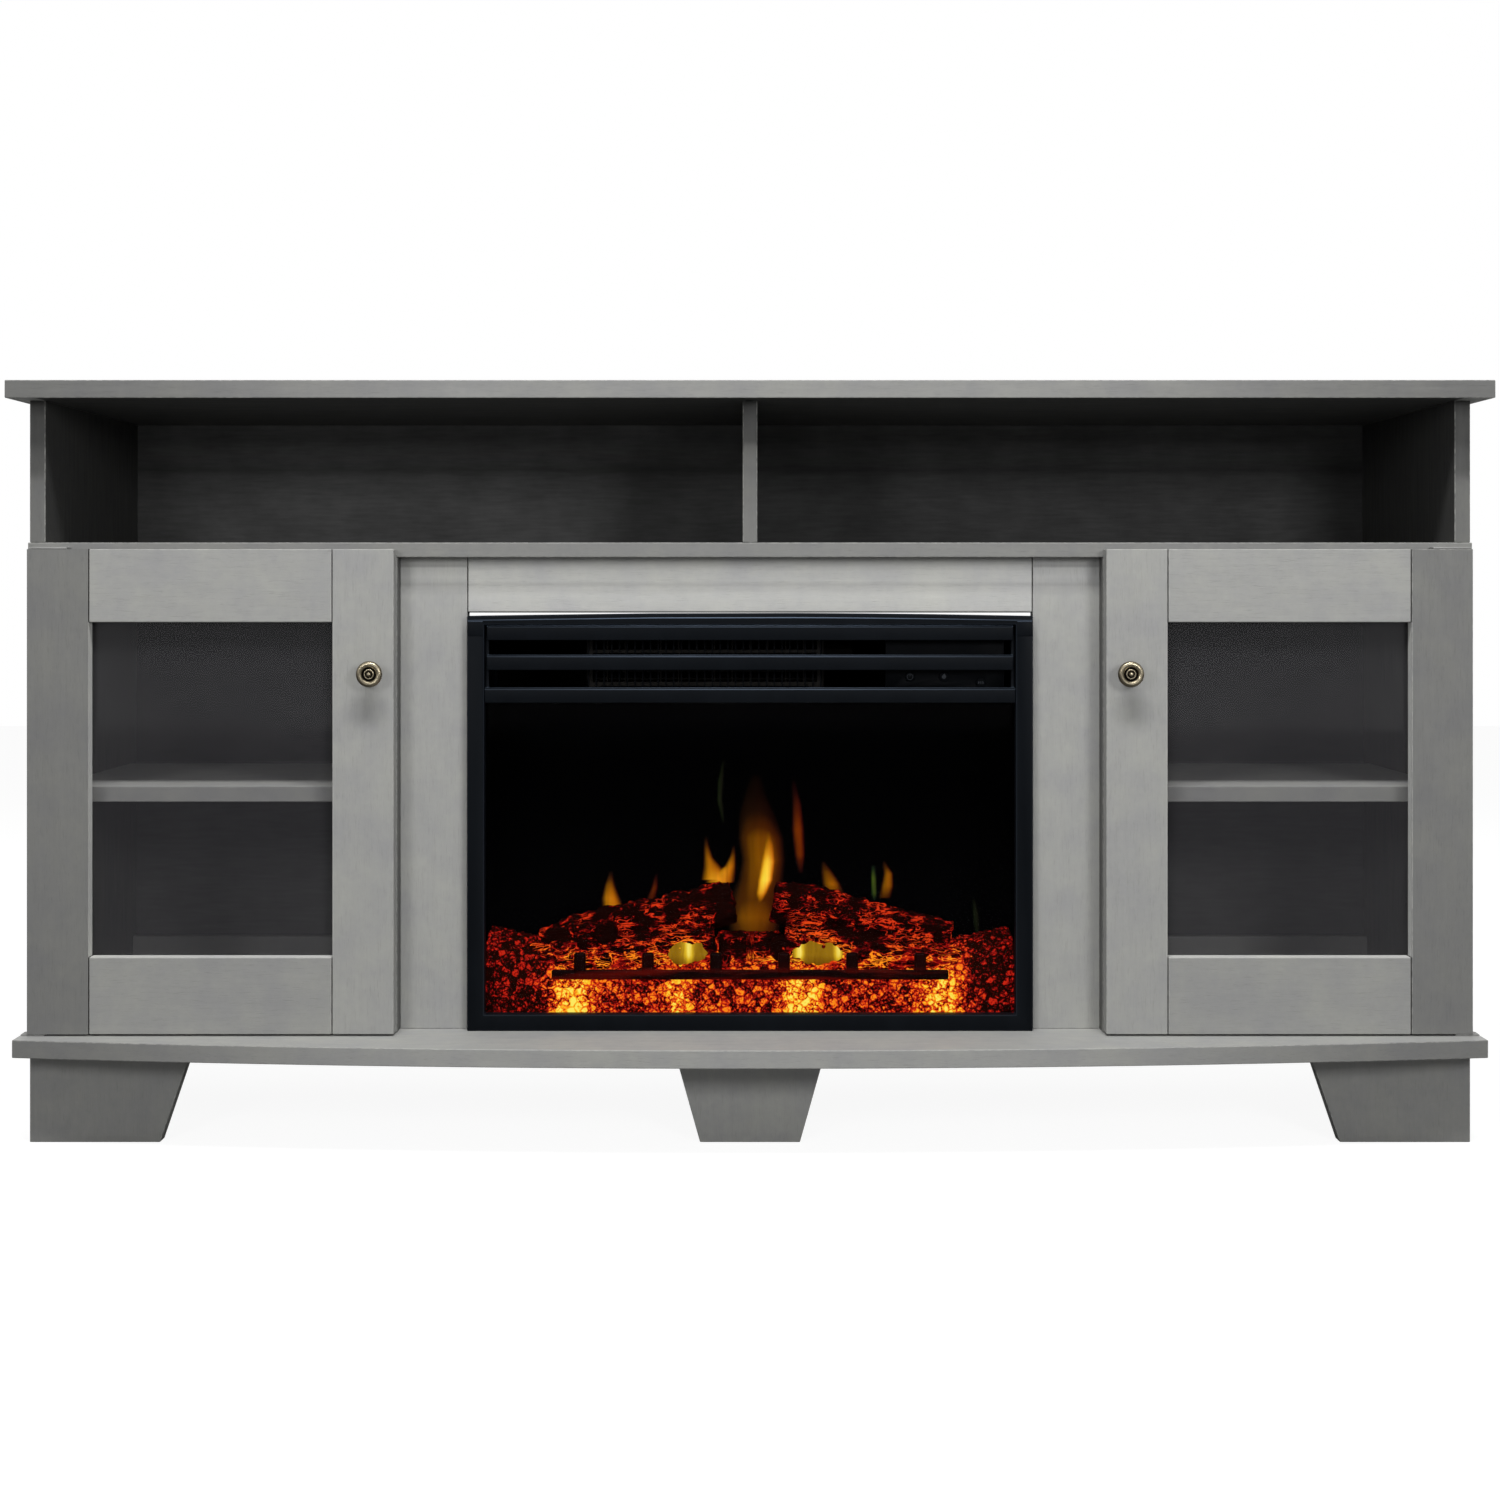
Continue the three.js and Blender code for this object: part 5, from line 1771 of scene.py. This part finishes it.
@dataclass
class FuelBed:
    """The ember bed, the logs with their knots and lit hollows, and the grate."""

    embers: Finish
    bark: Finish
    iron: Finish
    hollow: Finish
    cell: float = 0.00115
    coal: float = 0.0072
    coal_height: float = 0.0040
    coal_strength: float = 1.2
    bark_cell: float = 0.0021
    cast_cell: float = 0.0008
    clear: float = 0.0004
    pile_reach: Span = (0.185, 0.232)
    wall_rise: float = 0.008
    steps: tuple[BedStep, ...] = (
        BedStep(0.0008, 0.0100, 0.000), BedStep(0.0022, 0.0170, 0.003), BedStep(0.0050, 0.0300, 0.006),
        BedStep(0.0082, 0.0385, 0.009), BedStep(0.0145, 0.0450, 0.012), BedStep(0.0205, 0.0520, 0.014),
        BedStep(0.0305, 0.0580, 0.016), BedStep(0.0475, 0.0620, 0.017), BedStep(0.0675, 0.0630, 0.018),
        BedStep(0.0882, 0.0630, 0.018),
    )
    hot_spots: tuple[HotSpot, ...] = (
        HotSpot(-0.184, 0.032, 1.0), HotSpot(-0.075, 0.026, 0.85), HotSpot(0.053, 0.032, 1.0),
        HotSpot(0.196, 0.036, 0.9),
    )
    cool_heat: float = 0.10
    even_heat: float = 0.35
    cool_ends: Span = (0.205, 0.228)
    front_depth: Span = (0.008, 0.020)
    behind_share: float = 0.35
    back_depth: Span = (0.03, 0.08)
    back_share: float = 0.25
    notch: Span = (0.2355, 0.006)
    notch_heights: Span = (0.155, 0.175)
    notch_share: float = 0.9
    bark_lumps: tuple[Lumps, ...] = (
        Lumps(0.022, 0.009), Lumps(0.011, -0.0045, cells=1.1), Lumps(0.004, 0.002, 2),
    )
    bark_middle: float = 0.62
    log_heat: float = 0.75
    upper_share: float = 0.45
    upper_heights: Span = (0.176, 0.206)
    hollow_share: float = 0.35
    left_end: Span = (-0.045, -0.028)
    right_end: Span = (0.024, 0.040)
    end_heights: Span = (0.180, 0.19)
    end_share: float = 0.85
    stub_place: Place = (-0.027, -0.079, 0.183)
    stub_size: Span = (0.0062, 0.044)
    stub_tilt: float = math.radians(4)
    stub_rounding: float = 0.002
    stub_heights: Span = (0.166, 0.180)
    stub_heat: float = 0.22
    chunk_low: Place = (-0.036, -0.056, 0.172)
    chunk_high: Place = (0.034, -0.030, 0.201)
    chunk_rounding: float = 0.006
    chunk_heights: Span = (0.185, 0.20)
    chunk_heat: float = 0.42
    chunk_cooling: float = 0.25
    knot_places: tuple[Place, Place] = ((-0.150, -0.079, 0.205), (0.0325, -0.078, 0.188))
    knot_radius: float = 0.0125
    knot_profile: Knots = (
        (0, -0.02), (0.95, -0.02), (1.0, -0.003), (0.97, 0.0012), (0.86, 0.0024), (0.74, 0.0016),
        (0.66, 0.0022), (0.5, 0.0012), (0.42, 0.002), (0.24, 0.001), (0, 0.0018),
    )
    knot_heat: float = 0.12
    hollows: tuple[Hollow, Hollow] = (
        Hollow(-0.0643, 0.0205, ((0.0, 0.24),)), Hollow(0.0713, 0.0250, ((-0.78, 0.17), (0.83, 0.15))),
    )
    post_count: int = 6
    post_inset: float = 0.02925
    post_half_width: float = 0.0062
    post_rounding: float = 0.0028
    post_rise: float = 0.018
    post_margins: Span = (0.0008, 0.0004)
    bar_height: float = 0.010
    bar_rounding: float = 0.0016
    painted_glow_reach: float = 0.004
    painted_glow_fall: float = 0.9

    def build(self) -> None:
        """Makes the bed and what lies on it."""
        self.bed()
        self.logs()
        self.stub()
        for side, place in zip(SIDES, self.knot_places):
            knot = turned(f"log_{side}_knot", self.knot_profile, (self.knot_radius, 1), place)
            moulded(knot, 0, Lumps(0.006, 0.0018, 2))
            self.burn(knot, lambda p: self.knot_heat, self.bark)
        for side, hollow in zip(SIDES, self.hollows):
            piece = added(
                f"log_{side}_lit_hollow", bpy.ops.mesh.primitive_uv_sphere_add,
                (hollow.half_width, hollow.half_height, hollow.half_depth), segments=64, ring_count=32,
                radius=1, location=(hollow.across, *hollow.middle), rotation=(math.pi / 2, 0, 0))
            self.burn(moulded(piece, 0, Lumps(0.010, 0.012)), hollow.light, self.hollow)
        self.grate()

    def burn(self, piece: Piece, heat: PointRule, finish: Finish, *nodes: str) -> None:
        """Marks how warm a piece is, and dresses it.

        Args:
            piece: the piece.
            heat: takes a point's place.
            finish: what it is made of.
            *nodes: the nodes that it is shown for.
        """
        mark_points(piece, "warmth", heat)
        dress(piece, finish, stands_for=nodes)

    def bed(self) -> None:
        """Bends a fine grid into the bed's rise, raises coals on it and closes it with a skirt."""
        low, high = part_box("ember_bed")
        lengths = [0.0]
        for here, there in zip(self.steps, self.steps[1:]):
            lengths.append(lengths[-1] + math.hypot(there.back - here.back, there.rise - here.rise))
        total = lengths[-1]
        width = high.x - low.x - self.clear * 2
        piece = added(
            "ember_bed_coals", bpy.ops.mesh.primitive_grid_add, (width, total, 1),
            x_subdivisions=round(width / self.cell), y_subdivisions=round(total / self.cell), size=1)
        with editing(piece):
            mesh = bmesh.from_edit_mesh(piece.data)
            for vertex in mesh.verts:
                back, rise, pile = self.profile(vertex.co.y + total / 2, lengths)
                side = step_between(abs(vertex.co.x), *self.pile_reach)
                wall = step_between(abs(vertex.co.x), self.pile_reach[1], high.x) * self.wall_rise
                lift = rise + pile * side + wall * pile / self.steps[-1].pile
                vertex.co = Vector((vertex.co.x, low.y + back, low.z + lift))
            bmesh.update_edit_mesh(piece.data)
        for lumps in (
            Lumps(self.coal * 3, self.coal_height, 2),
            Lumps(self.coal, -self.coal_height, cells=self.coal_strength),
            Lumps(self.coal / 3, self.coal_height / 2),
        ):
            lumps.push(piece)
        close(piece, (0, 0, low.z - high.z), ((low.x + high.x) / 2, (low.y + high.y) / 2, low.z))
        smooth(piece, LUMPY_ANGLE)
        self.burn(piece, lambda p: self.bed_heat(p, low), self.embers, "ember_bed")

    def profile(self, along: float, lengths: Sequence[float]) -> tuple[float, ...]:
        """How far back, how high and how much piled the bed is at a length along its rise.

        Args:
            along: the length along the rise.
            lengths: the length at which each step starts.

        Returns:
            The distance back, the rise, and the share of the side piles.
        """
        last = len(self.steps) - 2
        i = next((i for i, end in enumerate(lengths[1:]) if along <= end), last)
        share = (along - lengths[i]) / (lengths[i + 1] - lengths[i])
        here, there = (astuple(step) for step in self.steps[i:i + 2])
        return tuple(start + (end - start) * share for start, end in zip(here, there))

    def bed_heat(self, place: Vector, low: Vector) -> float:
        """How hot the bed is: hottest at a few spots along its front, cool at its ends.

        Args:
            place: where it is asked.
            low: the bed's lowest corner.

        Returns:
            The heat, 0 to 1.
        """
        depth = place.y - low.y
        plain = self.cool_heat + self.even_heat * (1 - step_between(abs(place.x), *self.cool_ends))
        hot = max(
            spot.heat * math.exp(-((place.x - spot.across) / spot.reach) ** 2) for spot in self.hot_spots)
        hot *= 1 - self.behind_share * step_between(depth, *self.front_depth)
        middle, width = self.notch
        notch = math.exp(-((place.x - middle) / width) ** 2) * step_between(place.z, *self.notch_heights)
        back = 1 - self.back_share * step_between(depth, *self.back_depth)
        return max(plain, hot) * back * (1 - self.notch_share * notch)

    def logs(self) -> None:
        """Makes the logs: one fine skin over their solid, with checks and lumps in its bark."""
        piece = copy_of("log_set", "log_set_charred")
        moulded(piece, self.bark_cell, *self.bark_lumps, middle=self.bark_middle)
        self.burn(piece, self.bark_heat, self.bark, "log_set")

    def bark_heat(self, place: Vector) -> float:
        """How hot the bark is: glowing near the coals and round the hollows, dark at its inner ends.

        Args:
            place: where it is asked.

        Returns:
            The heat, 0 to 1.
        """
        heat = self.log_heat - self.upper_share * step_between(place.z, *self.upper_heights)
        for hollow in self.hollows:
            heat += self.hollow_share * hollow.warmth(place)
        inner = step_between(place.x, *self.left_end) * (1 - step_between(place.x, *self.right_end))
        return heat * (1 - self.end_share * inner * step_between(place.z, *self.end_heights))

    def stub(self) -> None:
        """Stands a short charred stub between the front logs, and lays a chunk behind it."""
        radius, depth = self.stub_size
        stub = added(
            "log_charred_stub", bpy.ops.mesh.primitive_cylinder_add, vertices=32, radius=radius,
            depth=depth, location=self.stub_place, rotation=(0, self.stub_tilt, 0))
        with editing(stub):
            bpy.ops.mesh.bevel(offset=self.stub_rounding, segments=2, affect="EDGES")
        moulded(stub, self.cell, Lumps(0.009, 0.005))
        self.burn(stub, lambda p: self.stub_heat * (1 - step_between(p.z, *self.stub_heights)), self.bark)
        chunk = block("log_middle_chunk", self.chunk_low, self.chunk_high, self.chunk_rounding, 3)
        moulded(chunk, self.bark_cell / 2, Lumps(0.012, 0.010))
        self.burn(
            chunk,
            lambda p: self.chunk_heat - self.chunk_cooling * step_between(p.z, *self.chunk_heights),
            self.bark)

    def grate(self) -> None:
        """Casts the grate: one bar and its stout posts, grown into each other, with the coals' light painted
        on as a glow that fades up the posts.
        """
        low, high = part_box("fire_grate")
        bar_top = high.z - self.post_rise
        bar_low = bar_top - self.bar_height
        pieces = [block("grate_bar", (low.x, low.y, bar_low), (high.x, high.y, bar_top), self.bar_rounding)]
        reach = high.x - self.post_inset
        front, back = low.y - self.post_margins[0], high.y + self.post_margins[1]
        for i in range(self.post_count):
            x = reach * (2 * i / (self.post_count - 1) - 1)
            pieces.append(block(
                f"grate_post_{i}", (x - self.post_half_width, front, bar_low),
                (x + self.post_half_width, back, high.z), self.post_rounding, 4))
        piece = moulded(joined("fire_grate_cast", pieces), self.cast_cell, Lumps(0.006, 0.0005, 2))
        # Painted glow of the coals' light, fading up the posts above the bar
        glow_top = bar_top + self.painted_glow_reach
        self.burn(
            piece, lambda p: 1 - self.painted_glow_fall * step_between(p.z, bar_top, glow_top), self.iron,
            "fire_grate")


# The powers that set how a flame's light falls from its core to its edge
FLAME_CORE = 2.4
FLAME_EDGE = 0.7


def fire_light(strength: float) -> Colour:
    """The colour of fire by its strength: dark red, orange, then yellow.

    Args:
        strength: how strong the fire is, 0 to 1.

    Returns:
        Its colour.
    """
    for (low, dim), (high, bright) in zip(FLAME_STOPS, FLAME_STOPS[1:]):
        if strength <= high:
            share = (strength - low) / (high - low)
            return tuple(d + (b - d) * share for d, b in zip(dim, bright))
    return FLAME_STOPS[-1][1]


class Tint(Enum):
    """What a flame's light is multiplied by."""

    PLAIN = (1.0, 1.0, 1.0)
    REDDER = (1.0, 0.5, 1.2)
    GREEN = (0.7, 4.6, 6.0)
    SMOKE = (0.8, 3.3, 4.0)


@dataclass(frozen=True)
class Flame:
    """One tongue of flame, as knots from its tip to its foot: across, height, half width and strength."""

    knots: tuple[tuple[float, float, float, float], ...]
    tint: Tint = Tint.PLAIN
    green_shift: float = 0.3

    def light(self, x: float, z: float) -> Colour | None:
        """The tongue's light at a place on the screen.

        Args:
            x: the place across, in millimetres.
            z: the place's height, in millimetres.

        Returns:
            Its light, or None outside it.
        """
        for upper, lower in zip(self.knots, self.knots[1:]):
            if lower[1] <= z <= upper[1]:
                share = (upper[1] - z) / (upper[1] - lower[1])
                middle, half, strength = (upper[i] + (lower[i] - upper[i]) * share for i in (0, 2, 3))
                off = abs(x - middle) / half
                if off >= 1:
                    return None
                fall = (1 - off ** FLAME_CORE) ** FLAME_EDGE
                red, green, blue = fire_light(strength * fall)
                green *= 1 - self.green_shift * (x - middle) / half
                return tuple(value * tint for value, tint in zip((red, green, blue), self.tint.value))
        return None


FLAMES = (
    Flame((
        (6.5, 365, 4.9, 0.03), (5.5, 344, 12.2, 0.07), (7.5, 322, 19.6, 0.18), (11.5, 297, 24.5, 0.41),
        (14.5, 274, 23.3, 0.46), (11.5, 252, 24.5, 0.4), (5.5, 231, 27.9, 0.33), (4.5, 212, 29.1, 0.43),
        (4.5, 197, 26.8, 0.35),
    )),
    Flame((
        (19.5, 306, 2.4, 0.3), (20.5, 290, 6.2, 0.6), (19.5, 272, 8.5, 0.9), (16.5, 252, 8.5, 1),
        (12.5, 238, 6.2, 0.78), (10.5, 227, 2.4, 0.3),
    )),
    Flame((
        (-47.5, 299, 1.3, 0.08), (-46.5, 287, 3, 0.34), (-44.5, 276, 4.9, 0.5), (-40.5, 266, 9.8, 0.58),
        (-34.5, 252, 18.4, 0.76),
    )),
    Flame((
        (-17.5, 289, 1.3, 0.1), (-18.5, 278, 3.1, 0.4), (-21.5, 267, 6.2, 0.6), (-27.5, 260, 12.2, 0.68),
        (-32.5, 250, 16, 0.7),
    )),
    Flame((
        (-149.5, 261, 1.8, 0.1), (-150.5, 247, 5.5, 0.45), (-149.5, 233, 9.8, 0.62),
        (-146.5, 220, 12.2, 0.58),
    )),
    Flame((
        (-100.5, 259, 1.5, 0.1), (-102.5, 244, 3.6, 0.36), (-106.5, 231, 4.9, 0.3),
    ), Tint.REDDER),
    Flame((
        (-28.5, 380, 1.3, 0.04), (-31.5, 360, 2.7, 0.13), (-32.5, 338, 3, 0.15), (-28.5, 314, 1.3, 0.05),
    ), Tint.SMOKE),
    Flame((
        (46.5, 359, 1.8, 0.04), (50.5, 333, 4.9, 0.27), (51.5, 306, 6.7, 0.42), (53.5, 279, 5.5, 0.39),
        (54.5, 260, 2.4, 0.12),
    ), Tint.REDDER),
    Flame((
        (78.5, 272, 1.8, 0.12), (82.5, 261, 6.2, 0.36), (87.5, 248, 9.8, 0.5), (91.5, 236, 11.1, 0.3),
    )),
    Flame((
        (132.5, 267, 1.5, 0.12), (132.5, 255, 2.7, 0.32), (133.5, 238, 2.7, 0.28), (133.5, 232, 1.8, 0.12),
    ), Tint.GREEN),
    Flame((
        (143.5, 272, 1.5, 0.12), (148.5, 259, 4.9, 0.48), (147.5, 246, 6.7, 0.5), (144.5, 233, 6.7, 0.28),
    )),
    Flame((
        (240.5, 231, 1.3, 0.05), (242.5, 215, 3.1, 0.13), (244.5, 188, 1.8, 0.05),
    ), Tint.SMOKE),
)


@dataclass
class FlameEffect:
    """The screen with its flames, and what turns and lights behind it."""

    screen: Finish
    tin: Material
    board: Material
    cell: float = 0.0015
    flames: tuple[Flame, ...] = FLAMES

    def build(self) -> None:
        """Makes the screen: a finely divided front with the flames' light, closed at the back."""
        low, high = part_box("flame_screen")
        size = high - low
        piece = added(
            "flame_screen_lit", bpy.ops.mesh.primitive_grid_add, (size.x, size.z, 1),
            x_subdivisions=round(size.x / self.cell), y_subdivisions=round(size.z / self.cell), size=1,
            location=((low.x + high.x) / 2, low.y, (low.z + high.z) / 2), rotation=(math.pi / 2, 0, 0))
        close(piece, (0, size.y, 0))
        attribute = piece.data.attributes.new("flame_light", "FLOAT_COLOR", "POINT")
        for vertex, value in zip(piece.data.vertices, attribute.data):
            lit = vertex.co.y < (low.y + high.y) / 2
            value.color = rgba(self.light(vertex.co.x, vertex.co.z) if lit else (0.0, 0.0, 0.0))
        dress(piece, self.screen, stands_for=["flame_screen"])
        dress_nodes(self.tin, "flame_spindle", "spindle_motor")
        dress_nodes(self.board, "led_board")

    def light(self, x: float, z: float) -> Colour:
        """The light of all the flames at a place on the screen."""
        lights = [light for flame in self.flames if (light := flame.light(x / MILLIMETRE, z / MILLIMETRE))]
        return tuple(max((light[i] for light in lights), default=0.0) for i in range(3))


@dataclass
class Blower:
    """The blower, the heater and the intake's filter, over the partition."""

    tin: Material
    foam: Finish
    wall: float = 0.0016
    filter_margin: float = 0.004
    filter_thickness: float = 0.004
    filter_cuts: int = 6

    def build(self) -> None:
        """Dresses the solids, which only show through slots, and lays open foam over the slots inside."""
        dress_nodes(self.tin, "blower_wheel", "blower_housing", "heater_element")
        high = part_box("insert_housing")[1]
        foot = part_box("heater_element")[0].z
        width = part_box("window_glass")[1].x
        back = high.y - self.wall
        piece = block(
            "intake_filter", (-width, back - self.filter_thickness, foot),
            (width, back, high.z - self.filter_margin), self.filter_thickness / 4)
        with editing(piece):
            bpy.ops.mesh.subdivide(number_cuts=self.filter_cuts)
        mark_faces(piece, "edge", [0.0] * len(piece.data.polygons))
        dress(piece, self.foam)


# The studio


@dataclass(frozen=True)
class Lamp:
    """A soft lamp: its name, its place, its width and height, and its power in watts."""

    name: str
    place: Place
    size: Span
    power: float


@dataclass
class Studio:
    """A white floor, soft lamps and the camera."""

    camera_place: Place = (0, -2.463, 0.5636)
    lens: float = 54.8
    rise_shift: float = -0.1067
    floor_size: float = 14
    floor_grey: float = 0.32
    seen_grey: float = 0.2
    seen_light: float = 0.92
    lamps: tuple[Lamp, ...] = (
        Lamp("top", (0, -1.40, 2.72), (1.6, 0.4), 62), Lamp("left", (-1.15, -2.6, 1.1), (0.5, 0.5), 12),
        Lamp("right", (1.15, -2.6, 1.1), (0.5, 0.5), 19), Lamp("back", (0, 2.6, 2.0), (3.0, 1.5), 16),
    )
    aim: Place = (0, 0, 0.4)
    ambient: float = 0.2

    def build(self) -> None:
        """Sets up the studio."""
        self.camera()
        self.floor()
        for lamp in self.lamps:
            self.hang(lamp)
        self.world()
        bpy.context.scene.view_settings.view_transform = "Standard"

    def camera(self) -> None:
        """Sets the camera where the photograph's was, level and looking straight ahead."""
        bpy.ops.object.camera_add(location=self.camera_place, rotation=(math.pi / 2, 0, 0))
        camera = started("camera")
        camera.data.lens = self.lens
        camera.data.shift_y = self.rise_shift
        bpy.context.scene.camera = camera

    def floor(self) -> None:
        """Lays a pale floor that the camera sees as white, with the stand's shadow on it."""
        bpy.ops.object.select_all(action="DESELECT")
        bpy.ops.mesh.primitive_plane_add(size=self.floor_size)
        floor = started("floor")
        graph = Graph("pale_floor")
        plain, pale = (
            graph.add("BsdfDiffuse", {"Color": (grey, grey, grey, 1)}).outputs[0]
            for grey in (self.floor_grey, self.seen_grey))
        light = graph.add("Emission", {"Strength": self.seen_light}).outputs[0]
        white = graph.add("AddShader", {0: pale, 1: light}).outputs[0]
        seen = graph.add("LightPath").outputs["Is Camera Ray"]
        mixed = graph.add("MixShader", {0: seen, 1: plain, 2: white}).outputs[0]
        graph.add("OutputMaterial", {"Surface": mixed})
        floor.data.materials.append(graph.owner)

    def hang(self, lamp: Lamp) -> None:
        """Hangs a soft lamp that shines at the stand's middle.

        Args:
            lamp: what it is.
        """
        bpy.ops.object.light_add(type="AREA", location=lamp.place)
        piece = started(f"{lamp.name}_lamp")
        piece.data.shape = "RECTANGLE"
        piece.data.size, piece.data.size_y = lamp.size
        piece.data.energy = lamp.power
        aim = Vector(self.aim) - Vector(lamp.place)
        piece.rotation_euler = aim.to_track_quat("-Z", "Y").to_euler()

    def world(self) -> None:
        """Makes the surroundings: white to the eye and in reflections, dim as light."""
        graph = Graph("studio", bpy.data.worlds)
        path = graph.add("LightPath").outputs
        seen = path["Is Camera Ray"]
        for ray in ("Is Glossy Ray", "Is Transmission Ray"):
            seen = graph.maths("MAXIMUM", seen, path[ray])
        dim, white = (
            graph.add("Background", {0: rgba((1, 1, 1)), 1: strength}).outputs[0]
            for strength in (self.ambient, 1.0))
        mixed = graph.add("MixShader", {0: seen, 1: dim, 2: white}).outputs[0]
        graph.add("OutputWorld", {0: mixed})
        bpy.context.scene.world = graph.owner


STEEL_BLACK: Colour = (0.0034, 0.0044, 0.0060)


def main() -> None:
    """Builds the studio and the stand, piece by piece."""
    logging.basicConfig(level=logging.INFO, format="%(message)s")
    Studio().build()
    joinery = Joinery()
    Carcass(joinery).build()
    glass = TintedGlass("smoked_glass", (0.075, 0.073, 0.080), 0.17)
    zinc = PlatedSteel("zinc_steel", srgb(150, 150, 148), 0.55, 0.25)
    plastic = Finish(
        BlackCoat("black_plastic", (0.0020, 0.0024, 0.0032), 0.0006, 0.5, 0.03).material(), "black_plastic")
    fittings = [
        Finish(glass.material(), "smoked_glass"), Finish(AntiqueBrass().material(), "antique_brass"),
        Finish(zinc.material(), "zinc_steel"), plastic,
    ]
    for side in SIDES:
        Door(joinery, side, *fittings).build()
    steel = BlackCoat("black_steel", STEEL_BLACK, 0.0004, 0.42, 0.04)
    # The louvers' lips: a strong painted highlight on their top edges, fading towards the ends
    lip = BlackCoat("black_steel_painted_highlight", STEEL_BLACK, 0.0004, 0.42, 0.04, 100.0, (0.06, 0.26))
    mark = BlackCoat("grey_mark", srgb(56, 59, 64), 0.0008, 0.6, 0.1)
    window = TintedGlass("fire_glass", (0.002, 0.002, 0.002), 0.02)
    InsertCase(
        Finish(steel.material(), "black_steel"), Finish(lip.material(), "black_steel"), plastic,
        Finish(mark.material(), "black_plastic"), Finish(window.material(), "fire_glass")).build()
    FuelBed(
        Finish(LitCoals().material(), "ember_resin"), Finish(CharredBark().material(), "charred_resin"),
        Finish(IronWithPaintedGlow().material(), "black_steel"), Finish(LitHollow().material(), "ember_resin")).build()
    tin = PlatedSteel("tin_plate", srgb(186, 188, 192), 0.28)
    screen = Finish(FlameScreen().material(), "flame_screen")
    FlameEffect(screen, tin.material(), CircuitBoard().material()).build()
    sooty = PlatedSteel("sooty_tin", (0.02, 0.019, 0.018), 0.5)
    foam = BlackCoat("filter_foam", (0.004, 0.004, 0.004), 0.0012, 0.9, 0.0)
    Blower(sooty.material(), Finish(foam.material(), "black_plastic")).build()


if __name__ == "__main__":
    main()
